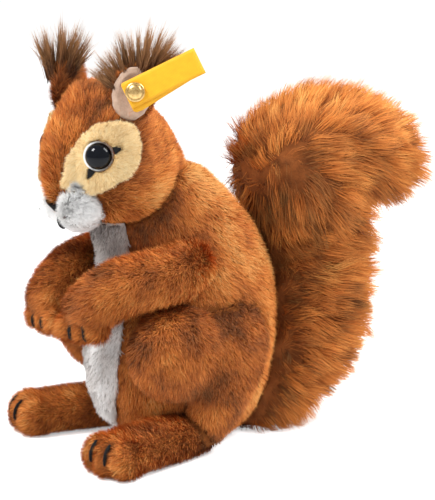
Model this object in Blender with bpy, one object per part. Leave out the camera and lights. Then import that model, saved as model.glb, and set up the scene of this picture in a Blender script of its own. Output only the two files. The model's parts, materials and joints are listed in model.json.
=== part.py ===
"""A sitting plush squirrel: stuffed plush pieces, felt, thread, two eyes and a riveted ear ribbon.

Forward is -Y, up is +Z and the squirrel's left is +X. Sizes are in millimetres.
A stuffed piece is a skin drawn through oval sections along a middle line. Where two pieces
meet, the later one is cut by the earlier one, grown by the clearance.
"""

import math

import bmesh
import bpy
from mathutils import Matrix, Vector
from mathutils.bvhtree import BVHTree

MM = 0.001
CLEARANCE = 0.3
WELD = 0.000001
FAR = 400.0

# Torso sections: height, middle, half width, half depth
TORSO = (
    (7.0, -18.0, 25.0, 30.0),
    (16.0, -19.0, 31.5, 38.0),
    (30.0, -19.0, 35.0, 42.0),
    (48.0, -18.0, 35.5, 44.0),
    (64.0, -16.0, 33.5, 42.5),
    (80.0, -15.5, 30.0, 39.0),
    (95.0, -21.0, 28.5, 37.0),
    (108.0, -28.0, 27.0, 33.0),
    (120.0, -34.5, 25.0, 27.5),
    (129.0, -41.0, 22.0, 20.0),
)
TORSO_CAP = 5.0
TORSO_BASE_CAP = 5.0

# Heights of the face, which the head, the snout and the ears follow
NOSE_HEIGHT = 111.5
EYE_HEIGHT = 133.5


def face_height(share):
    """A height between the nose, at 0, and the eyes, at 1."""
    return NOSE_HEIGHT + share * (EYE_HEIGHT - NOSE_HEIGHT)


# Head sections: height, middle, half width, half depth, how much narrower the front is
HEAD = (
    (NOSE_HEIGHT - 5.0, -51.0, 20.0, 16.5, 0.0),
    (NOSE_HEIGHT - 0.5, -49.0, 25.5, 22.4, 0.20),
    (face_height(0.25), -46.4, 27.5, 29.0, 0.25),
    (face_height(0.60), -47.6, 28.2, 31.0, 0.27),
    (EYE_HEIGHT + 0.5, -49.8, 27.8, 29.4, 0.22),
    (EYE_HEIGHT + 9.5, -51.8, 27.0, 26.6, 0.15),
    (EYE_HEIGHT + 17.5, -54.0, 25.0, 21.2, 0.08),
    (EYE_HEIGHT + 24.5, -56.0, 20.0, 15.0, 0.0),
)
HEAD_CAP = 6.5
HEAD_BASE_CAP = 3.5

# Bridge of the nose: a ridge down the front of the head
BRIDGE = (
    (NOSE_HEIGHT - 1.0, -67.0, 9.0, 12.0, 0.0),
    (NOSE_HEIGHT + 2.5, -69.3, 12.0, 13.0, 0.0),
    (face_height(0.35), -70.4, 14.0, 13.8, 0.0),
    (face_height(0.70), -70.6, 15.0, 14.0, 0.0),
    (EYE_HEIGHT + 3.5, -70.2, 15.5, 14.0, 0.0),
    (EYE_HEIGHT + 12.5, -67.0, 15.0, 13.4, 0.0),
    (EYE_HEIGHT + 20.0, -62.0, 13.5, 12.0, 0.0),
)
BRIDGE_CAP = 3.0

# Muzzle: two puffed lobes and a chin
LOBE = (8.3, -72.2, NOSE_HEIGHT + 0.5)
LOBE_HALF_SIZES = (9.1, 9.7, 9.3)
CHIN = (0.0, -68.5, NOSE_HEIGHT - 6.0)
CHIN_HALF_SIZES = (9.0, 9.5, 6.2)

# Fabric panels and thread
PANEL_THICKNESS = 1.2
PANEL_REACH = 90.0
THREAD_RADIUS = 0.7
BIB_PANEL = (
    (-40.0, 2.0),
    (-33.0, 8.5),
    (-20.0, 13.0),
    (-2.0, 15.5),
    (16.0, 15.0),
    (32.0, 13.5),
    (46.0, 15.5),
    (54.0, 15.5),
    (64.0, 11.0),
)
BIB_MIDDLE = 50.0
BIB_BACK = -28.0

# Eyes
EYE_RADIUS = 5.7
EYE_DOME_HEIGHT = 4.4
EYE_RING_RADIUS = 6.5
EYE_RING_THICKNESS = 0.8
EYE_SHANK_RADIUS = 1.6
EYE_SHANK_LENGTH = 11.0
EYE_FORWARD = -58.0
EYE_SINK = 0.8
EYE_FACING = (0.86, -0.50, 0.08)
WASHER_RADIUS = 5.0
WASHER_THICKNESS = 1.4
WASHER_DEPTH = 6.0
EYE_CORNER_LENGTH = 4.4
EYE_CORNER_HALF_HEIGHT = 1.6
EYE_CORNER_POINT = 1.6
EYE_CORNER_POINT_HALF_HEIGHT = 0.7
EYE_CORNER_THICKNESS = 1.6
EYE_CORNER_ANGLES = {"front": 244.0, "back": 20.0}
EYE_BEFORE = 14.0
EYE_PANEL_BEHIND = 12.0

# Outline of the cream panel round the eye: backwards and upwards from the eye's middle
EYE_PATCH = (
    (-15.0, -12.0),
    (-13.5, -7.5),
    (-11.5, -1.0),
    (-7.0, 7.0),
    (-1.5, 11.5),
    (6.0, 13.0),
    (12.5, 12.8),
    (15.5, 9.5),
    (16.2, 3.5),
    (15.0, -3.0),
    (11.5, -8.0),
    (5.0, -11.0),
    (-1.5, -14.5),
    (-9.0, -14.5),
)

# Nose: the stitched band's half outline, from its middle sideways, and the line to the mouth
NOSE_HALF_WIDTH = 6.0
NOSE_TOP = 2.2
NOSE_NOTCH = 0.6
NOSE_BOTTOM = -2.4
NOSE_TIP_HALF_WIDTH = 2.4
NOSE_SEAT_TOP = 12.0
NOSE_CORNER = 0.4
NOSE_BACK = -61.0
MOUTH_START = 3.8
MOUTH_LENGTH = 8.0

# Ears, linings and tufts
EARS = {1: (22.5, -54.5, EYE_HEIGHT + 27.5), -1: (-24.0, -60.5, EYE_HEIGHT + 25.5)}
EAR_LEANS = {1: 14.0, -1: -16.0}
EAR_FACING = (0.86, -0.49, 0.10)
EAR_HALF_WIDTH = 11.0
EAR_HALF_THICKNESS = 4.2
EAR_HALF_LENGTH = 14.0
LINING_RIM = 2.2
LINING_HALF_THICKNESS = 2.4
LINING_THICKNESS = 2.2
LINING_SEAT = 1.0
TUFT_HALF_WIDTH = 9.0
TUFT_HALF_THICKNESS = 4.5
TUFT_LENGTH = 26.0
TUFT_SPREAD = 1.5
TUFT_RAISE = 3.0
TUFT_INSET = 1.5
# The rims from the root up, as shares of the tuft's length and width: the height of the low and
# the high corners, then their widths
TUFT_RIMS = (
    (0.0, 0.0, 0.55, 0.55),
    (0.10, 0.10, 0.85, 0.85),
    (0.40, 0.40, 1.1, 1.1),
    (0.60, 1.0, 1.2, TUFT_SPREAD),
    (0.50, 0.50, 0.65, 0.65),
    (0.90, 0.55, 0.85, 0.35),
)
TUFT_ENDS = (-0.05, 0.45)

# Ear ribbon and rivet
RIBBON_WIDTH = 11.6
RIBBON_LENGTH = 34.5
RIBBON_START = -5.0
RIBBON_WAY = (0.93, 0.40, 0.05)
RIBBON_CREASE = 0.1
RIBBON_THICKNESS = 0.6
RIBBON_GAP = 0.5
RIVET_HEAD_RADIUS = 4.2
RIVET_HEAD_HEIGHT = 2.2
RIVET_RIM = 0.7
RIVET_POST_RADIUS = 1.1
RIVET_CAP_RADIUS = 3.0
RIVET_CAP_HEIGHT = 1.0
RIVET_GRIP = 8.5
RIVET_SPOT = (1.2, 0.9)
RIVET_CLEAR_OUT = 20.0

# Arm sections: across, along, height, half width, half depth
ARM = (
    (14.0, -24.0, 88.0, 9.5, 9.5),
    (24.0, -28.0, 85.5, 11.5, 11.5),
    (29.5, -38.0, 82.5, 11.5, 11.5),
    (27.5, -51.0, 80.5, 11.3, 11.3),
    (22.5, -64.0, 77.0, 11.0, 11.5),
    (18.0, -74.0, 69.0, 10.5, 10.5),
)
ARM_CAP = 9.0
ARM_ROOT_CAP = 6.0
ARM_ACROSS = (1.0, 0.3, 0.3)
ARM_DROPS = {1: 0.0, -1: 2.5}
FINGER_HALF_SIZE = 5.4
FINGER_SPREAD = 6.6
FINGER_STEP_BACK = 0.8
FINGER_CLAW_SWING = (-48.0, 28.0)
FINGERTIP = (16.5, -77.0, 60.0)
FINGER_ROWS = {1: (0.80, 0.60, 0.0), -1: (0.99, 0.10, 0.0)}

# Legs and feet
HAUNCH = (30.0, -37.0, 48.0)
HAUNCH_HALF_SIZES = (14.0, 24.0, 21.0)
HAUNCH_TURN = 7.0
SHANK = (
    (25.5, -14.0, 61.5, 11.0, 21.0),
    (29.0, -13.0, 44.0, 13.5, 22.0),
    (31.0, -18.5, 25.0, 13.0, 16.0),
    (31.0, -24.0, 14.0, 11.5, 12.0),
    (30.0, -26.0, 8.5, 10.8, 10.2),
)
SHANK_CAPS = (8.0, 6.0)
FOOT_SPLAY = 12.5
FOOT = (
    (0.0, 11.0, 9.5),
    (14.0, 12.5, 9.8),
    (32.0, 13.5, 9.6),
    (48.0, 13.5, 9.2),
)
HEEL = (28.0, -27.0)
FOOT_CAP = 9.0
FOOT_SINK = 0.6
TOE_HALF_SIZES = (5.6, 9.0, 8.6)
TOE_SPREAD = 8.6
TOE_REACH = 50.0
TOE_SINK = 0.4
TOE_STEP_BACK = 2.0
TOE_CLAW_SWING = (-8.0, 62.0)

# Tail: the trunk's sections by height, then the crown's sections from front to back
TRUNK = (
    (4.0, 21.0, 21.0, 22.0),
    (20.0, 35.5, 25.0, 30.0),
    (42.0, 48.5, 27.0, 27.5),
    (66.0, 51.5, 27.5, 25.5),
    (88.0, 51.5, 28.0, 26.0),
    (108.0, 45.0, 29.0, 28.0),
    (122.0, 42.0, 28.0, 27.0),
)
TRUNK_CAP = 20.0
TRUNK_BASE_CAP = 8.0
CROWN = (
    (30.0, 122.0, 24.0, 20.0),
    (48.0, 125.5, 29.0, 24.5),
    (68.0, 125.0, 30.0, 25.5),
    (84.0, 120.5, 27.5, 22.5),
    (93.0, 116.5, 23.0, 18.0),
)
CROWN_CAP = 10.0
LOCK_HEIGHT = 3.5


def clear_scene():
    for old in list(bpy.data.objects):
        bpy.data.objects.remove(old)


def material(name, colour, roughness=0.9, metallic=0.0):
    made = bpy.data.materials.new(name)
    made.use_nodes = True
    shader = made.node_tree.nodes["Principled BSDF"]
    shader.inputs["Base Color"].default_value = (*colour, 1.0)
    shader.inputs["Roughness"].default_value = roughness
    shader.inputs["Metallic"].default_value = metallic
    made.diffuse_color = (*colour, 1.0)
    return made


def vec(*numbers):
    """A point or a direction in millimetres, as metres."""
    return Vector(numbers) * MM


def frame_of(forward, up):
    """A rotation whose Y runs along forward and whose Z lies as near up as it can."""
    along = Vector(forward).normalized()
    side = along.cross(Vector(up)).normalized()
    return Matrix((side, along, side.cross(along))).transposed()


def mirrored(point, side):
    return (point[0] * side, point[1], point[2])


def mesh_of(name, bm):
    bmesh.ops.recalc_face_normals(bm, faces=bm.faces)
    mesh = bpy.data.meshes.new(name)
    bm.to_mesh(mesh)
    bm.free()
    return mesh


def keep(name, bm, skin):
    """Turns bm into a shown node with its material."""
    made = bpy.data.objects.new(name, mesh_of(name, bm))
    bpy.context.scene.collection.objects.link(made)
    made.data.materials.append(skin)
    finish(made)
    return made


def finish(thing):
    thing.data.shade_smooth()
    thing.data.set_sharp_from_angle(angle=math.radians(50))


def helper(name, bm):
    """A hidden shape that only cuts others."""
    made = bpy.data.objects.new(name, mesh_of(name, bm))
    bpy.context.scene.collection.objects.link(made)
    made.hide_render = True
    made.display_type = "WIRE"
    return made


def settle(thing):
    """Puts the modifiers' result into the object's own mesh."""
    bpy.context.view_layer.update()
    graph = bpy.context.evaluated_depsgraph_get()
    skins = list(thing.data.materials)
    mesh = bpy.data.meshes.new_from_object(thing.evaluated_get(graph))
    thing.modifiers.clear()
    thing.data = mesh
    mesh.materials.clear()
    for skin in skins[:1]:
        mesh.materials.append(skin)
    finish(thing)


def combine(thing, tool, operation="DIFFERENCE"):
    """Cuts thing with a helper, joins it on, or keeps what they share, and drops the helper."""
    step = thing.modifiers.new(operation.lower(), "BOOLEAN")
    step.operation = operation
    step.object = tool
    settle(thing)
    bpy.data.objects.remove(tool)
    bm = bmesh.new()
    bm.from_mesh(thing.data)
    bmesh.ops.remove_doubles(bm, verts=bm.verts, dist=WELD)
    bmesh.ops.dissolve_degenerate(bm, edges=bm.edges, dist=WELD)
    bm.to_mesh(thing.data)
    bm.free()


def grown(source, amount):
    """A hidden copy of a piece, grown along its normals."""
    made = spare(source)
    swell = made.modifiers.new("swell", "DISPLACE")
    swell.mid_level = 0.0
    swell.strength = amount * MM
    settle(made)
    return made


def spare(source):
    """A hidden copy of a piece as it is now, for others to be fitted to."""
    made = bpy.data.objects.new("spare_" + source.name, source.data.copy())
    bpy.context.scene.collection.objects.link(made)
    made.hide_render = True
    made.display_type = "WIRE"
    return made


def cut_by(thing, *others):
    """Cuts thing back from other pieces, and leaves the clearance between them."""
    for other in others:
        combine(thing, grown(other, CLEARANCE))
    drop_crumbs(thing)


def drop_crumbs(thing):
    """Keeps only the largest closed body of a piece that cuts have parted."""
    bm = bmesh.new()
    bm.from_mesh(thing.data)
    unseen = set(bm.verts)
    bodies = []
    while unseen:
        body, edge = set(), [unseen.pop()]
        while edge:
            vertex = edge.pop()
            body.add(vertex)
            for link in vertex.link_edges:
                other = link.other_vert(vertex)
                if other in unseen:
                    unseen.discard(other)
                    edge.append(other)
        bodies.append(body)
    largest = max(bodies, key=len)
    crumbs = [vertex for vertex in bm.verts if vertex not in largest]
    bmesh.ops.delete(bm, geom=crumbs, context="VERTS")
    bm.to_mesh(thing.data)
    bm.free()


def drop_flaps(thing):
    """Splits faces of many corners into triangles, and drops pairs that lie back to back."""
    bm = bmesh.new()
    bm.from_mesh(thing.data)
    bmesh.ops.triangulate(bm, faces=[face for face in bm.faces if len(face.verts) > 4])
    met = {}
    for face in bm.faces:
        met.setdefault(frozenset(face.verts), []).append(face)
    flaps = [face for faces in met.values() if len(faces) > 1 for face in faces]
    bmesh.ops.delete(bm, geom=flaps, context="FACES")
    bm.to_mesh(thing.data)
    bm.free()
    finish(thing)


def stand_on_floor(thing):
    """Cuts off what lies below the floor, so that the sole is flat."""
    bm = bmesh.new()
    bmesh.ops.create_cube(bm, size=FAR * MM)
    bmesh.ops.translate(bm, verts=bm.verts, vec=vec(0, 0, -FAR / 2))
    combine(thing, helper("floor", bm))


def ball(centre, half_sizes, turn=None, sides=14, rows=8):
    bm = bmesh.new()
    bmesh.ops.create_uvsphere(bm, u_segments=sides, v_segments=rows, radius=1.0)
    turned = (turn or Matrix.Identity(3)) @ Matrix.Diagonal(half_sizes)
    for vertex in bm.verts:
        vertex.co = (turned @ vertex.co + Vector(centre)) * MM
    return bm


def smooth_between(rows, share):
    """A row between the given ones, on a curve that runs through them all."""
    place = share * (len(rows) - 1)
    start = min(int(place), len(rows) - 2)
    t = place - start
    picked = [rows[max(0, min(len(rows) - 1, start + step))] for step in (-1, 0, 1, 2)]
    mixed = []
    for a, b, c, d in zip(*picked):
        curve = 2 * b + (c - a) * t + (2 * a - 5 * b + 4 * c - d) * t * t
        mixed.append(0.5 * (curve + (3 * b - a - 3 * c + d) * t * t * t))
    return mixed


def skin_through(sections, across, first_cap, last_cap, sides, rings, lock=0.0, level=None):
    """A closed skin through oval sections: centre, half width, half depth and front narrowing.

    Both ends are domes of the given lengths. A lock height pulls every second corner out and on
    along the middle line, as pile stands in locks. A level direction keeps all sections square to
    it instead of square to the middle line.
    """
    rows = [smooth_between(sections, i / (rings - 1)) for i in range(rings)]
    cap_rings = 3
    stack = []
    for i, row in enumerate(rows):
        before, after = rows[max(0, i - 1)], rows[min(rings - 1, i + 1)]
        tangent = Vector(level) if level else (Vector(after[:3]) - Vector(before[:3])).normalized()
        stack.append((Vector(row[:3]), row[3], row[4], row[5], tangent))
    first, last = stack[0], stack[-1]
    for end, cap, sign in ((first, first_cap, -1), (last, last_cap, 1)):
        for step in range(1, cap_rings):
            angle = math.radians(90.0 * step / cap_rings)
            shrink = math.cos(angle)
            spot = end[0] + end[4] * sign * cap * math.sin(angle)
            ring = (spot, end[1] * shrink, end[2] * shrink, end[3], end[4])
            stack.insert(0 if sign < 0 else len(stack), ring)
    bm = bmesh.new()
    loops = []
    for number, (spot, half_width, half_depth, narrow, tangent) in enumerate(stack):
        over = tangent.cross(Vector(across)).normalized()
        along = over.cross(tangent)
        ring = []
        for side in range(sides):
            angle = 2 * math.pi * side / sides
            x = half_width * math.cos(angle) * (1 + narrow * math.sin(angle))
            out = along * x + over * half_depth * math.sin(angle)
            if lock and (side + number) % 2:
                out += out.normalized() * lock + tangent * lock
            ring.append(bm.verts.new((spot + out) * MM))
        loops.append(ring)
    for low, high in zip(loops, loops[1:]):
        for side in range(sides):
            after = (side + 1) % sides
            bm.faces.new((low[side], low[after], high[after], high[side]))
    for end, cap, sign, loop in ((first, first_cap, -1, loops[0]), (last, last_cap, 1, loops[-1])):
        pole = bm.verts.new((end[0] + end[4] * sign * cap) * MM)
        for side in range(sides):
            bm.faces.new((loop[side], loop[(side + 1) % sides], pole))
    return bm


def upright_sections(rows):
    """Sections given as height, middle, half width, half depth and perhaps front narrowing."""
    return [(0.0, row[1], row[0], row[2], row[3], -row[4] if len(row) > 4 else 0.0) for row in rows]


def prism(outline, place, turn, depth):
    """A solid from an outline of (across, up) points, extruded by depth along the turn's Y."""
    bm = bmesh.new()
    near = [bm.verts.new(place + turn @ vec(x, 0, z)) for x, z in outline]
    far = [bm.verts.new(place + turn @ vec(x, depth, z)) for x, z in outline]
    bm.faces.new(near)
    bm.faces.new(far)
    close_sides(bm, near, far)
    return bm


def close_sides(bm, near, far):
    for i in range(len(near)):
        j = (i + 1) % len(near)
        bm.faces.new((near[i], near[j], far[j], far[i]))


def revolved(profile, place, turn, sides=16, ring=False):
    """A solid turned about the turn's Y, from (radius, along) points.

    The points run from axis to axis, or all the way round a ring.
    """
    bm = bmesh.new()
    loops = []
    for radius, along in profile:
        if radius < 1e-6:
            loops.append([bm.verts.new(place + turn @ vec(0, along, 0))] * sides)
            continue
        loop = []
        for side in range(sides):
            angle = 2 * math.pi * side / sides
            spot = vec(radius * math.cos(angle), along, radius * math.sin(angle))
            loop.append(bm.verts.new(place + turn @ spot))
        loops.append(loop)
    pairs = list(zip(loops, loops[1:]))
    if ring:
        pairs.append((loops[-1], loops[0]))
    for low, high in pairs:
        for side in range(sides):
            after = (side + 1) % sides
            corners = (low[side], low[after], high[after], high[side])
            bm.faces.new(list(dict.fromkeys(corners)))
    return bm


def thread(name, spots, across, skin):
    """A round stitch through points given in metres, in a plane square to across."""
    sides = 5
    bm = bmesh.new()
    loops = []
    for i, spot in enumerate(spots):
        ahead = (spots[min(i + 1, len(spots) - 1)] - spots[max(i - 1, 0)]).normalized()
        over = ahead.cross(Vector(across)).normalized()
        along = over.cross(ahead)
        radius = THREAD_RADIUS * (0.6 if i in (0, len(spots) - 1) else 1.0) * MM
        loop = []
        for side in range(sides):
            angle = 2 * math.pi * side / sides
            off = along * math.cos(angle) + over * math.sin(angle)
            loop.append(bm.verts.new(spot + off * radius))
        loops.append(loop)
    for low, high in zip(loops, loops[1:]):
        close_sides(bm, low, high)
    bm.faces.new(loops[0])
    bm.faces.new(loops[-1])
    return keep(name, bm, skin)


class Surface:
    """Finds where rays meet a piece."""

    def __init__(self, thing):
        mesh = thing.data
        corners = [vertex.co.copy() for vertex in mesh.vertices]
        faces = [tuple(face.vertices) for face in mesh.polygons]
        self.tree = BVHTree.FromPolygons(corners, faces)

    def from_outside(self, centre, direction):
        """The outermost point met when looking in along minus direction towards centre.

        A look that slips through along an edge is taken again slightly to the side.
        """
        way = direction.normalized()
        for slip in (0.0, CLEARANCE / 10, -CLEARANCE / 10):
            start = centre + way * FAR / 2 * MM + vec(slip, slip, slip)
            spot = self.tree.ray_cast(start, -way)[0]
            if spot:
                break
        return spot


def panel(name, source, shape, thickness, skin):
    """A thin fabric panel that hugs source, where the prism shape covers it."""
    made = keep(name, shape, skin)
    combine(made, grown(source, CLEARANCE + thickness), "INTERSECT")
    cut_by(made, source)
    return made


def make_head(skin):
    bm = skin_through(
        upright_sections(HEAD), (1, 0, 0), HEAD_BASE_CAP, HEAD_CAP, 18, 10, level=(0, 0, 1)
    )
    made = keep("head", bm, skin)
    bridge = skin_through(
        upright_sections(BRIDGE), (1, 0, 0), BRIDGE_CAP, BRIDGE_CAP, 14, 7, level=(0, 0, 1)
    )
    combine(made, helper("bridge", bridge), "UNION")
    return made


def make_muzzle(head, skin):
    made = keep("muzzle", ball(CHIN, CHIN_HALF_SIZES, sides=12, rows=6), skin)
    for side in (-1, 1):
        lobe = ball(mirrored(LOBE, side), LOBE_HALF_SIZES)
        combine(made, helper("lobe", lobe), "UNION")
    form = spare(made)
    cut_by(made, head)
    return made, form


def make_torso(skin):
    bm = skin_through(
        upright_sections(TORSO), (1, 0, 0), TORSO_BASE_CAP, TORSO_CAP, 18, 11, level=(0, 0, 1)
    )
    return keep("torso", bm, skin)


def make_bib(torso, skin):
    """The white panel down the front, drawn as half widths at heights above its middle."""
    right = [(half, height) for height, half in BIB_PANEL]
    left = [(-half, height) for height, half in reversed(BIB_PANEL)]
    place = vec(0.0, BIB_BACK, BIB_MIDDLE)
    shape = prism(right + left, place, Matrix.Identity(3), -PANEL_REACH)
    return panel("bib", torso, shape, PANEL_THICKNESS, skin)


def make_arm(side, skins):
    word = "left" if side > 0 else "right"
    drop = Vector((0.0, 0.0, ARM_DROPS[side]))
    sections = [(x * side, y, z - drop.z, width, depth, 0.0) for x, y, z, width, depth in ARM]
    bm = skin_through(sections, mirrored(ARM_ACROSS, side), ARM_ROOT_CAP, ARM_CAP, 12, 9)
    made = keep("arm_" + word, bm, skins["plush"])
    row = Vector(FINGER_ROWS[side]).normalized()
    tip = Vector(mirrored(FINGERTIP, side)) - drop
    down = (tip + drop - Vector(mirrored(ARM[-1], side))).normalized()
    for step in (-1, 0, 1):
        finger = tip + row * step * FINGER_SPREAD - down * abs(step) * FINGER_STEP_BACK
        sizes = (FINGER_HALF_SIZE, FINGER_HALF_SIZE, FINGER_HALF_SIZE)
        combine(made, helper("finger", ball(finger, sizes, sides=10, rows=6)), "UNION")
    front = row.cross(Vector((0, 0, 1)))
    if front.y > 0:
        front = -front
    grooves = (tip, front, row * FINGER_SPREAD, FINGER_CLAW_SWING)
    make_claws("claw_hand_" + word, made, grooves, skins["thread"])
    return made


def make_leg(side, skin):
    word = "left" if side > 0 else "right"
    turn = Matrix.Rotation(math.radians(HAUNCH_TURN * side), 3, "Z")
    made = keep("leg_" + word, ball(mirrored(HAUNCH, side), HAUNCH_HALF_SIZES, turn, 16, 10), skin)
    sections = [(x * side, y, z, width, depth, 0.0) for x, y, z, width, depth in SHANK]
    shank = skin_through(sections, (1, 0, 0), *SHANK_CAPS, 14, 6, level=(0, 0, -1))
    combine(made, helper("shank", shank), "UNION")
    return made


def make_foot(side, skins):
    word = "left" if side > 0 else "right"
    splay = math.radians(FOOT_SPLAY)
    ahead = Vector((side * math.sin(splay), -math.cos(splay), 0.0))
    row = Vector((math.cos(splay), side * math.sin(splay), 0.0))
    heel = Vector((HEEL[0] * side, HEEL[1], 0.0))
    sections = []
    for reach, half_width, half_height in FOOT:
        spot = heel + ahead * reach
        sections.append((spot.x, spot.y, half_height - FOOT_SINK, half_width, half_height, 0.0))
    bm = skin_through(sections, row, FOOT_CAP, FOOT_CAP, 12, 5)
    made = keep("foot_" + word, bm, skins["plush"])
    turn = frame_of(ahead, (0, 0, 1))
    toes = heel + ahead * TOE_REACH + Vector((0, 0, TOE_HALF_SIZES[2] - TOE_SINK))
    for step in (-1, 0, 1):
        toe = toes + row * step * TOE_SPREAD - ahead * abs(step) * TOE_STEP_BACK
        combine(made, helper("toe", ball(toe, TOE_HALF_SIZES, turn, 8, 6)), "UNION")
    stand_on_floor(made)
    grooves = (toes, ahead, row * TOE_SPREAD, TOE_CLAW_SWING)
    make_claws("claw_foot_" + word, made, grooves, skins["thread"])
    return made


def make_claws(name, limb, grooves, skin):
    """Two stitches that part three toes, each laid in its groove between two angles."""
    centre, ahead, apart, swing = grooves
    surface = Surface(limb)
    count = 5
    for number, step in enumerate((-0.5, 0.5), start=1):
        middle = (centre + apart * step) * MM
        spots = []
        for i in range(count):
            angle = math.radians(swing[0] + (swing[1] - swing[0]) * i / (count - 1))
            way = ahead * math.cos(angle) + Vector((0, 0, 1)) * math.sin(angle)
            spot = surface.from_outside(middle, way)
            spots.append(spot + way * (THREAD_RADIUS + 2 * CLEARANCE) * MM)
        thread(f"{name}_{number}", spots, apart, skin)


def disc_profile(hole, radius, low, high):
    """The profile of a flat disc with a hole."""
    return ((hole, low), (radius, low), (radius, high), (hole, high))


def make_eye(side, head, form, near, skins):
    """Cream panel, felt ring, glossy dome with its shank, inner washer and two stitched corners."""
    word = "left" if side > 0 else "right"
    facing = Vector(mirrored(EYE_FACING, side)).normalized()
    spot = Surface(form).from_outside(vec(0.0, EYE_FORWARD, EYE_HEIGHT), facing)
    turn = frame_of(facing, (0, 0, 1))
    turned = -1 if turn.col[0].y < 0 else 1
    outline = [(x * turned, z) for x, z in EYE_PATCH]
    back = spot - facing * EYE_PANEL_BEHIND * MM
    shape = prism(outline, back, turn, EYE_PANEL_BEHIND + EYE_BEFORE)
    patch = panel("eye_patch_" + word, form, shape, PANEL_THICKNESS, skins["cream"])
    cut_by(patch, *near)

    ring_low = -EYE_SINK
    ring_high = ring_low + EYE_RING_THICKNESS
    dome_low = ring_high + CLEARANCE
    hole = EYE_SHANK_RADIUS + CLEARANCE
    profile = disc_profile(hole, EYE_RING_RADIUS, ring_low, ring_high)
    keep("eye_ring_" + word, revolved(profile, spot, turn, ring=True), skins["felt_white"])

    shank_end = dome_low - EYE_SHANK_LENGTH
    dome = [(0.0, shank_end), (EYE_SHANK_RADIUS, shank_end), (EYE_SHANK_RADIUS, dome_low)]
    bulge = 5
    for step in range(bulge):
        angle = math.radians(90.0 * step / bulge)
        dome.append((EYE_RADIUS * math.cos(angle), dome_low + EYE_DOME_HEIGHT * math.sin(angle)))
    dome.append((0.0, dome_low + EYE_DOME_HEIGHT))
    keep("eye_" + word, revolved(dome, spot, turn, sides=16), skins["eye"])

    low, high = -WASHER_DEPTH - WASHER_THICKNESS, -WASHER_DEPTH
    profile = disc_profile(hole, WASHER_RADIUS, low, high)
    keep("eye_washer_" + word, revolved(profile, spot, turn, sides=12, ring=True), skins["washer"])

    # Pocket in the stuffing for the washer, the way in for the shank, and the ring's seat
    pocket = WASHER_RADIUS + CLEARANCE
    seat = EYE_RING_RADIUS + CLEARANCE
    bore = (
        (0.0, shank_end - CLEARANCE),
        (hole, shank_end - CLEARANCE),
        (hole, low - CLEARANCE),
        (pocket, low - CLEARANCE),
        (pocket, high + CLEARANCE),
        (hole, high + CLEARANCE),
        (hole, ring_low - CLEARANCE),
        (seat, ring_low - CLEARANCE),
        (seat, EYE_BEFORE),
        (0.0, EYE_BEFORE),
    )
    for thing in (head, patch):
        combine(thing, helper("pocket", revolved(bore, spot, turn, sides=12)))

    half, tip_half = EYE_CORNER_HALF_HEIGHT, EYE_CORNER_POINT_HALF_HEIGHT
    reach = seat + EYE_CORNER_LENGTH
    point = reach - EYE_CORNER_POINT
    rim = ((seat, half), (seat, -half), (point, -tip_half), (reach, 0.0), (point, tip_half))
    for place_word, angle in EYE_CORNER_ANGLES.items():
        along = Matrix.Rotation(math.radians(angle), 2)
        corners = [along @ Vector(corner) for corner in rim]
        outline = [(corner.x * turned, corner.y) for corner in corners]
        shape = prism(outline, back, turn, EYE_PANEL_BEHIND + EYE_BEFORE)
        name = f"eye_corner_{place_word}_{word}"
        corner = panel(name, form, shape, EYE_CORNER_THICKNESS, skins["thread"])
        cut_by(corner, *near)
        cut_by(patch, corner)


def make_nose(head, muzzle, skin):
    """A black satin-stitched band under the end of the bridge, and the line down to the mouth."""
    half, tip = NOSE_HALF_WIDTH, NOSE_TIP_HALF_WIDTH
    right = ((half, NOSE_TOP), (half - NOSE_CORNER, NOSE_NOTCH), (tip, NOSE_BOTTOM))
    outline = [(-x, z) for x, z in right[::-1]] + [(0.0, NOSE_NOTCH)] + list(right)
    place = vec(0.0, NOSE_BACK, NOSE_HEIGHT)
    shape = prism(outline, place, Matrix.Identity(3), -PANEL_REACH)
    panel("nose_stitch", head, shape, PANEL_THICKNESS, skin)
    gap = 2 * CLEARANCE
    low = NOSE_BOTTOM - gap
    right = ((tip + gap, low), (half + gap, NOSE_NOTCH - gap), (half + gap, NOSE_SEAT_TOP))
    seat = [(-x, z) for x, z in right[::-1]] + list(right)
    combine(muzzle, helper("nose_seat", prism(seat, place, Matrix.Identity(3), -PANEL_REACH)))
    drop_crumbs(muzzle)
    surface = Surface(muzzle)
    spots = []
    count = 5
    for i in range(count):
        height = NOSE_HEIGHT - MOUTH_START - i * MOUTH_LENGTH / count
        spot = surface.from_outside(vec(0.0, LOBE[1], height), Vector((0, -1, 0)))
        spots.append(spot + vec(0, -THREAD_RADIUS - CLEARANCE, 0))
    thread("mouth_stitch", spots, (1, 0, 0), skin)


def ear_frame(side):
    """Middle, facing direction and upward direction of an ear."""
    facing = Vector(mirrored(EAR_FACING, side)).normalized()
    upright = (Vector((0, 0, 1)) - facing * facing.z).normalized()
    back = Vector((0, 1, 0)) - facing * facing.y
    lean = math.radians(EAR_LEANS[side])
    up = (upright * math.cos(lean) + back.normalized() * math.sin(lean)).normalized()
    return Vector(EARS[side]), facing, up


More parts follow.
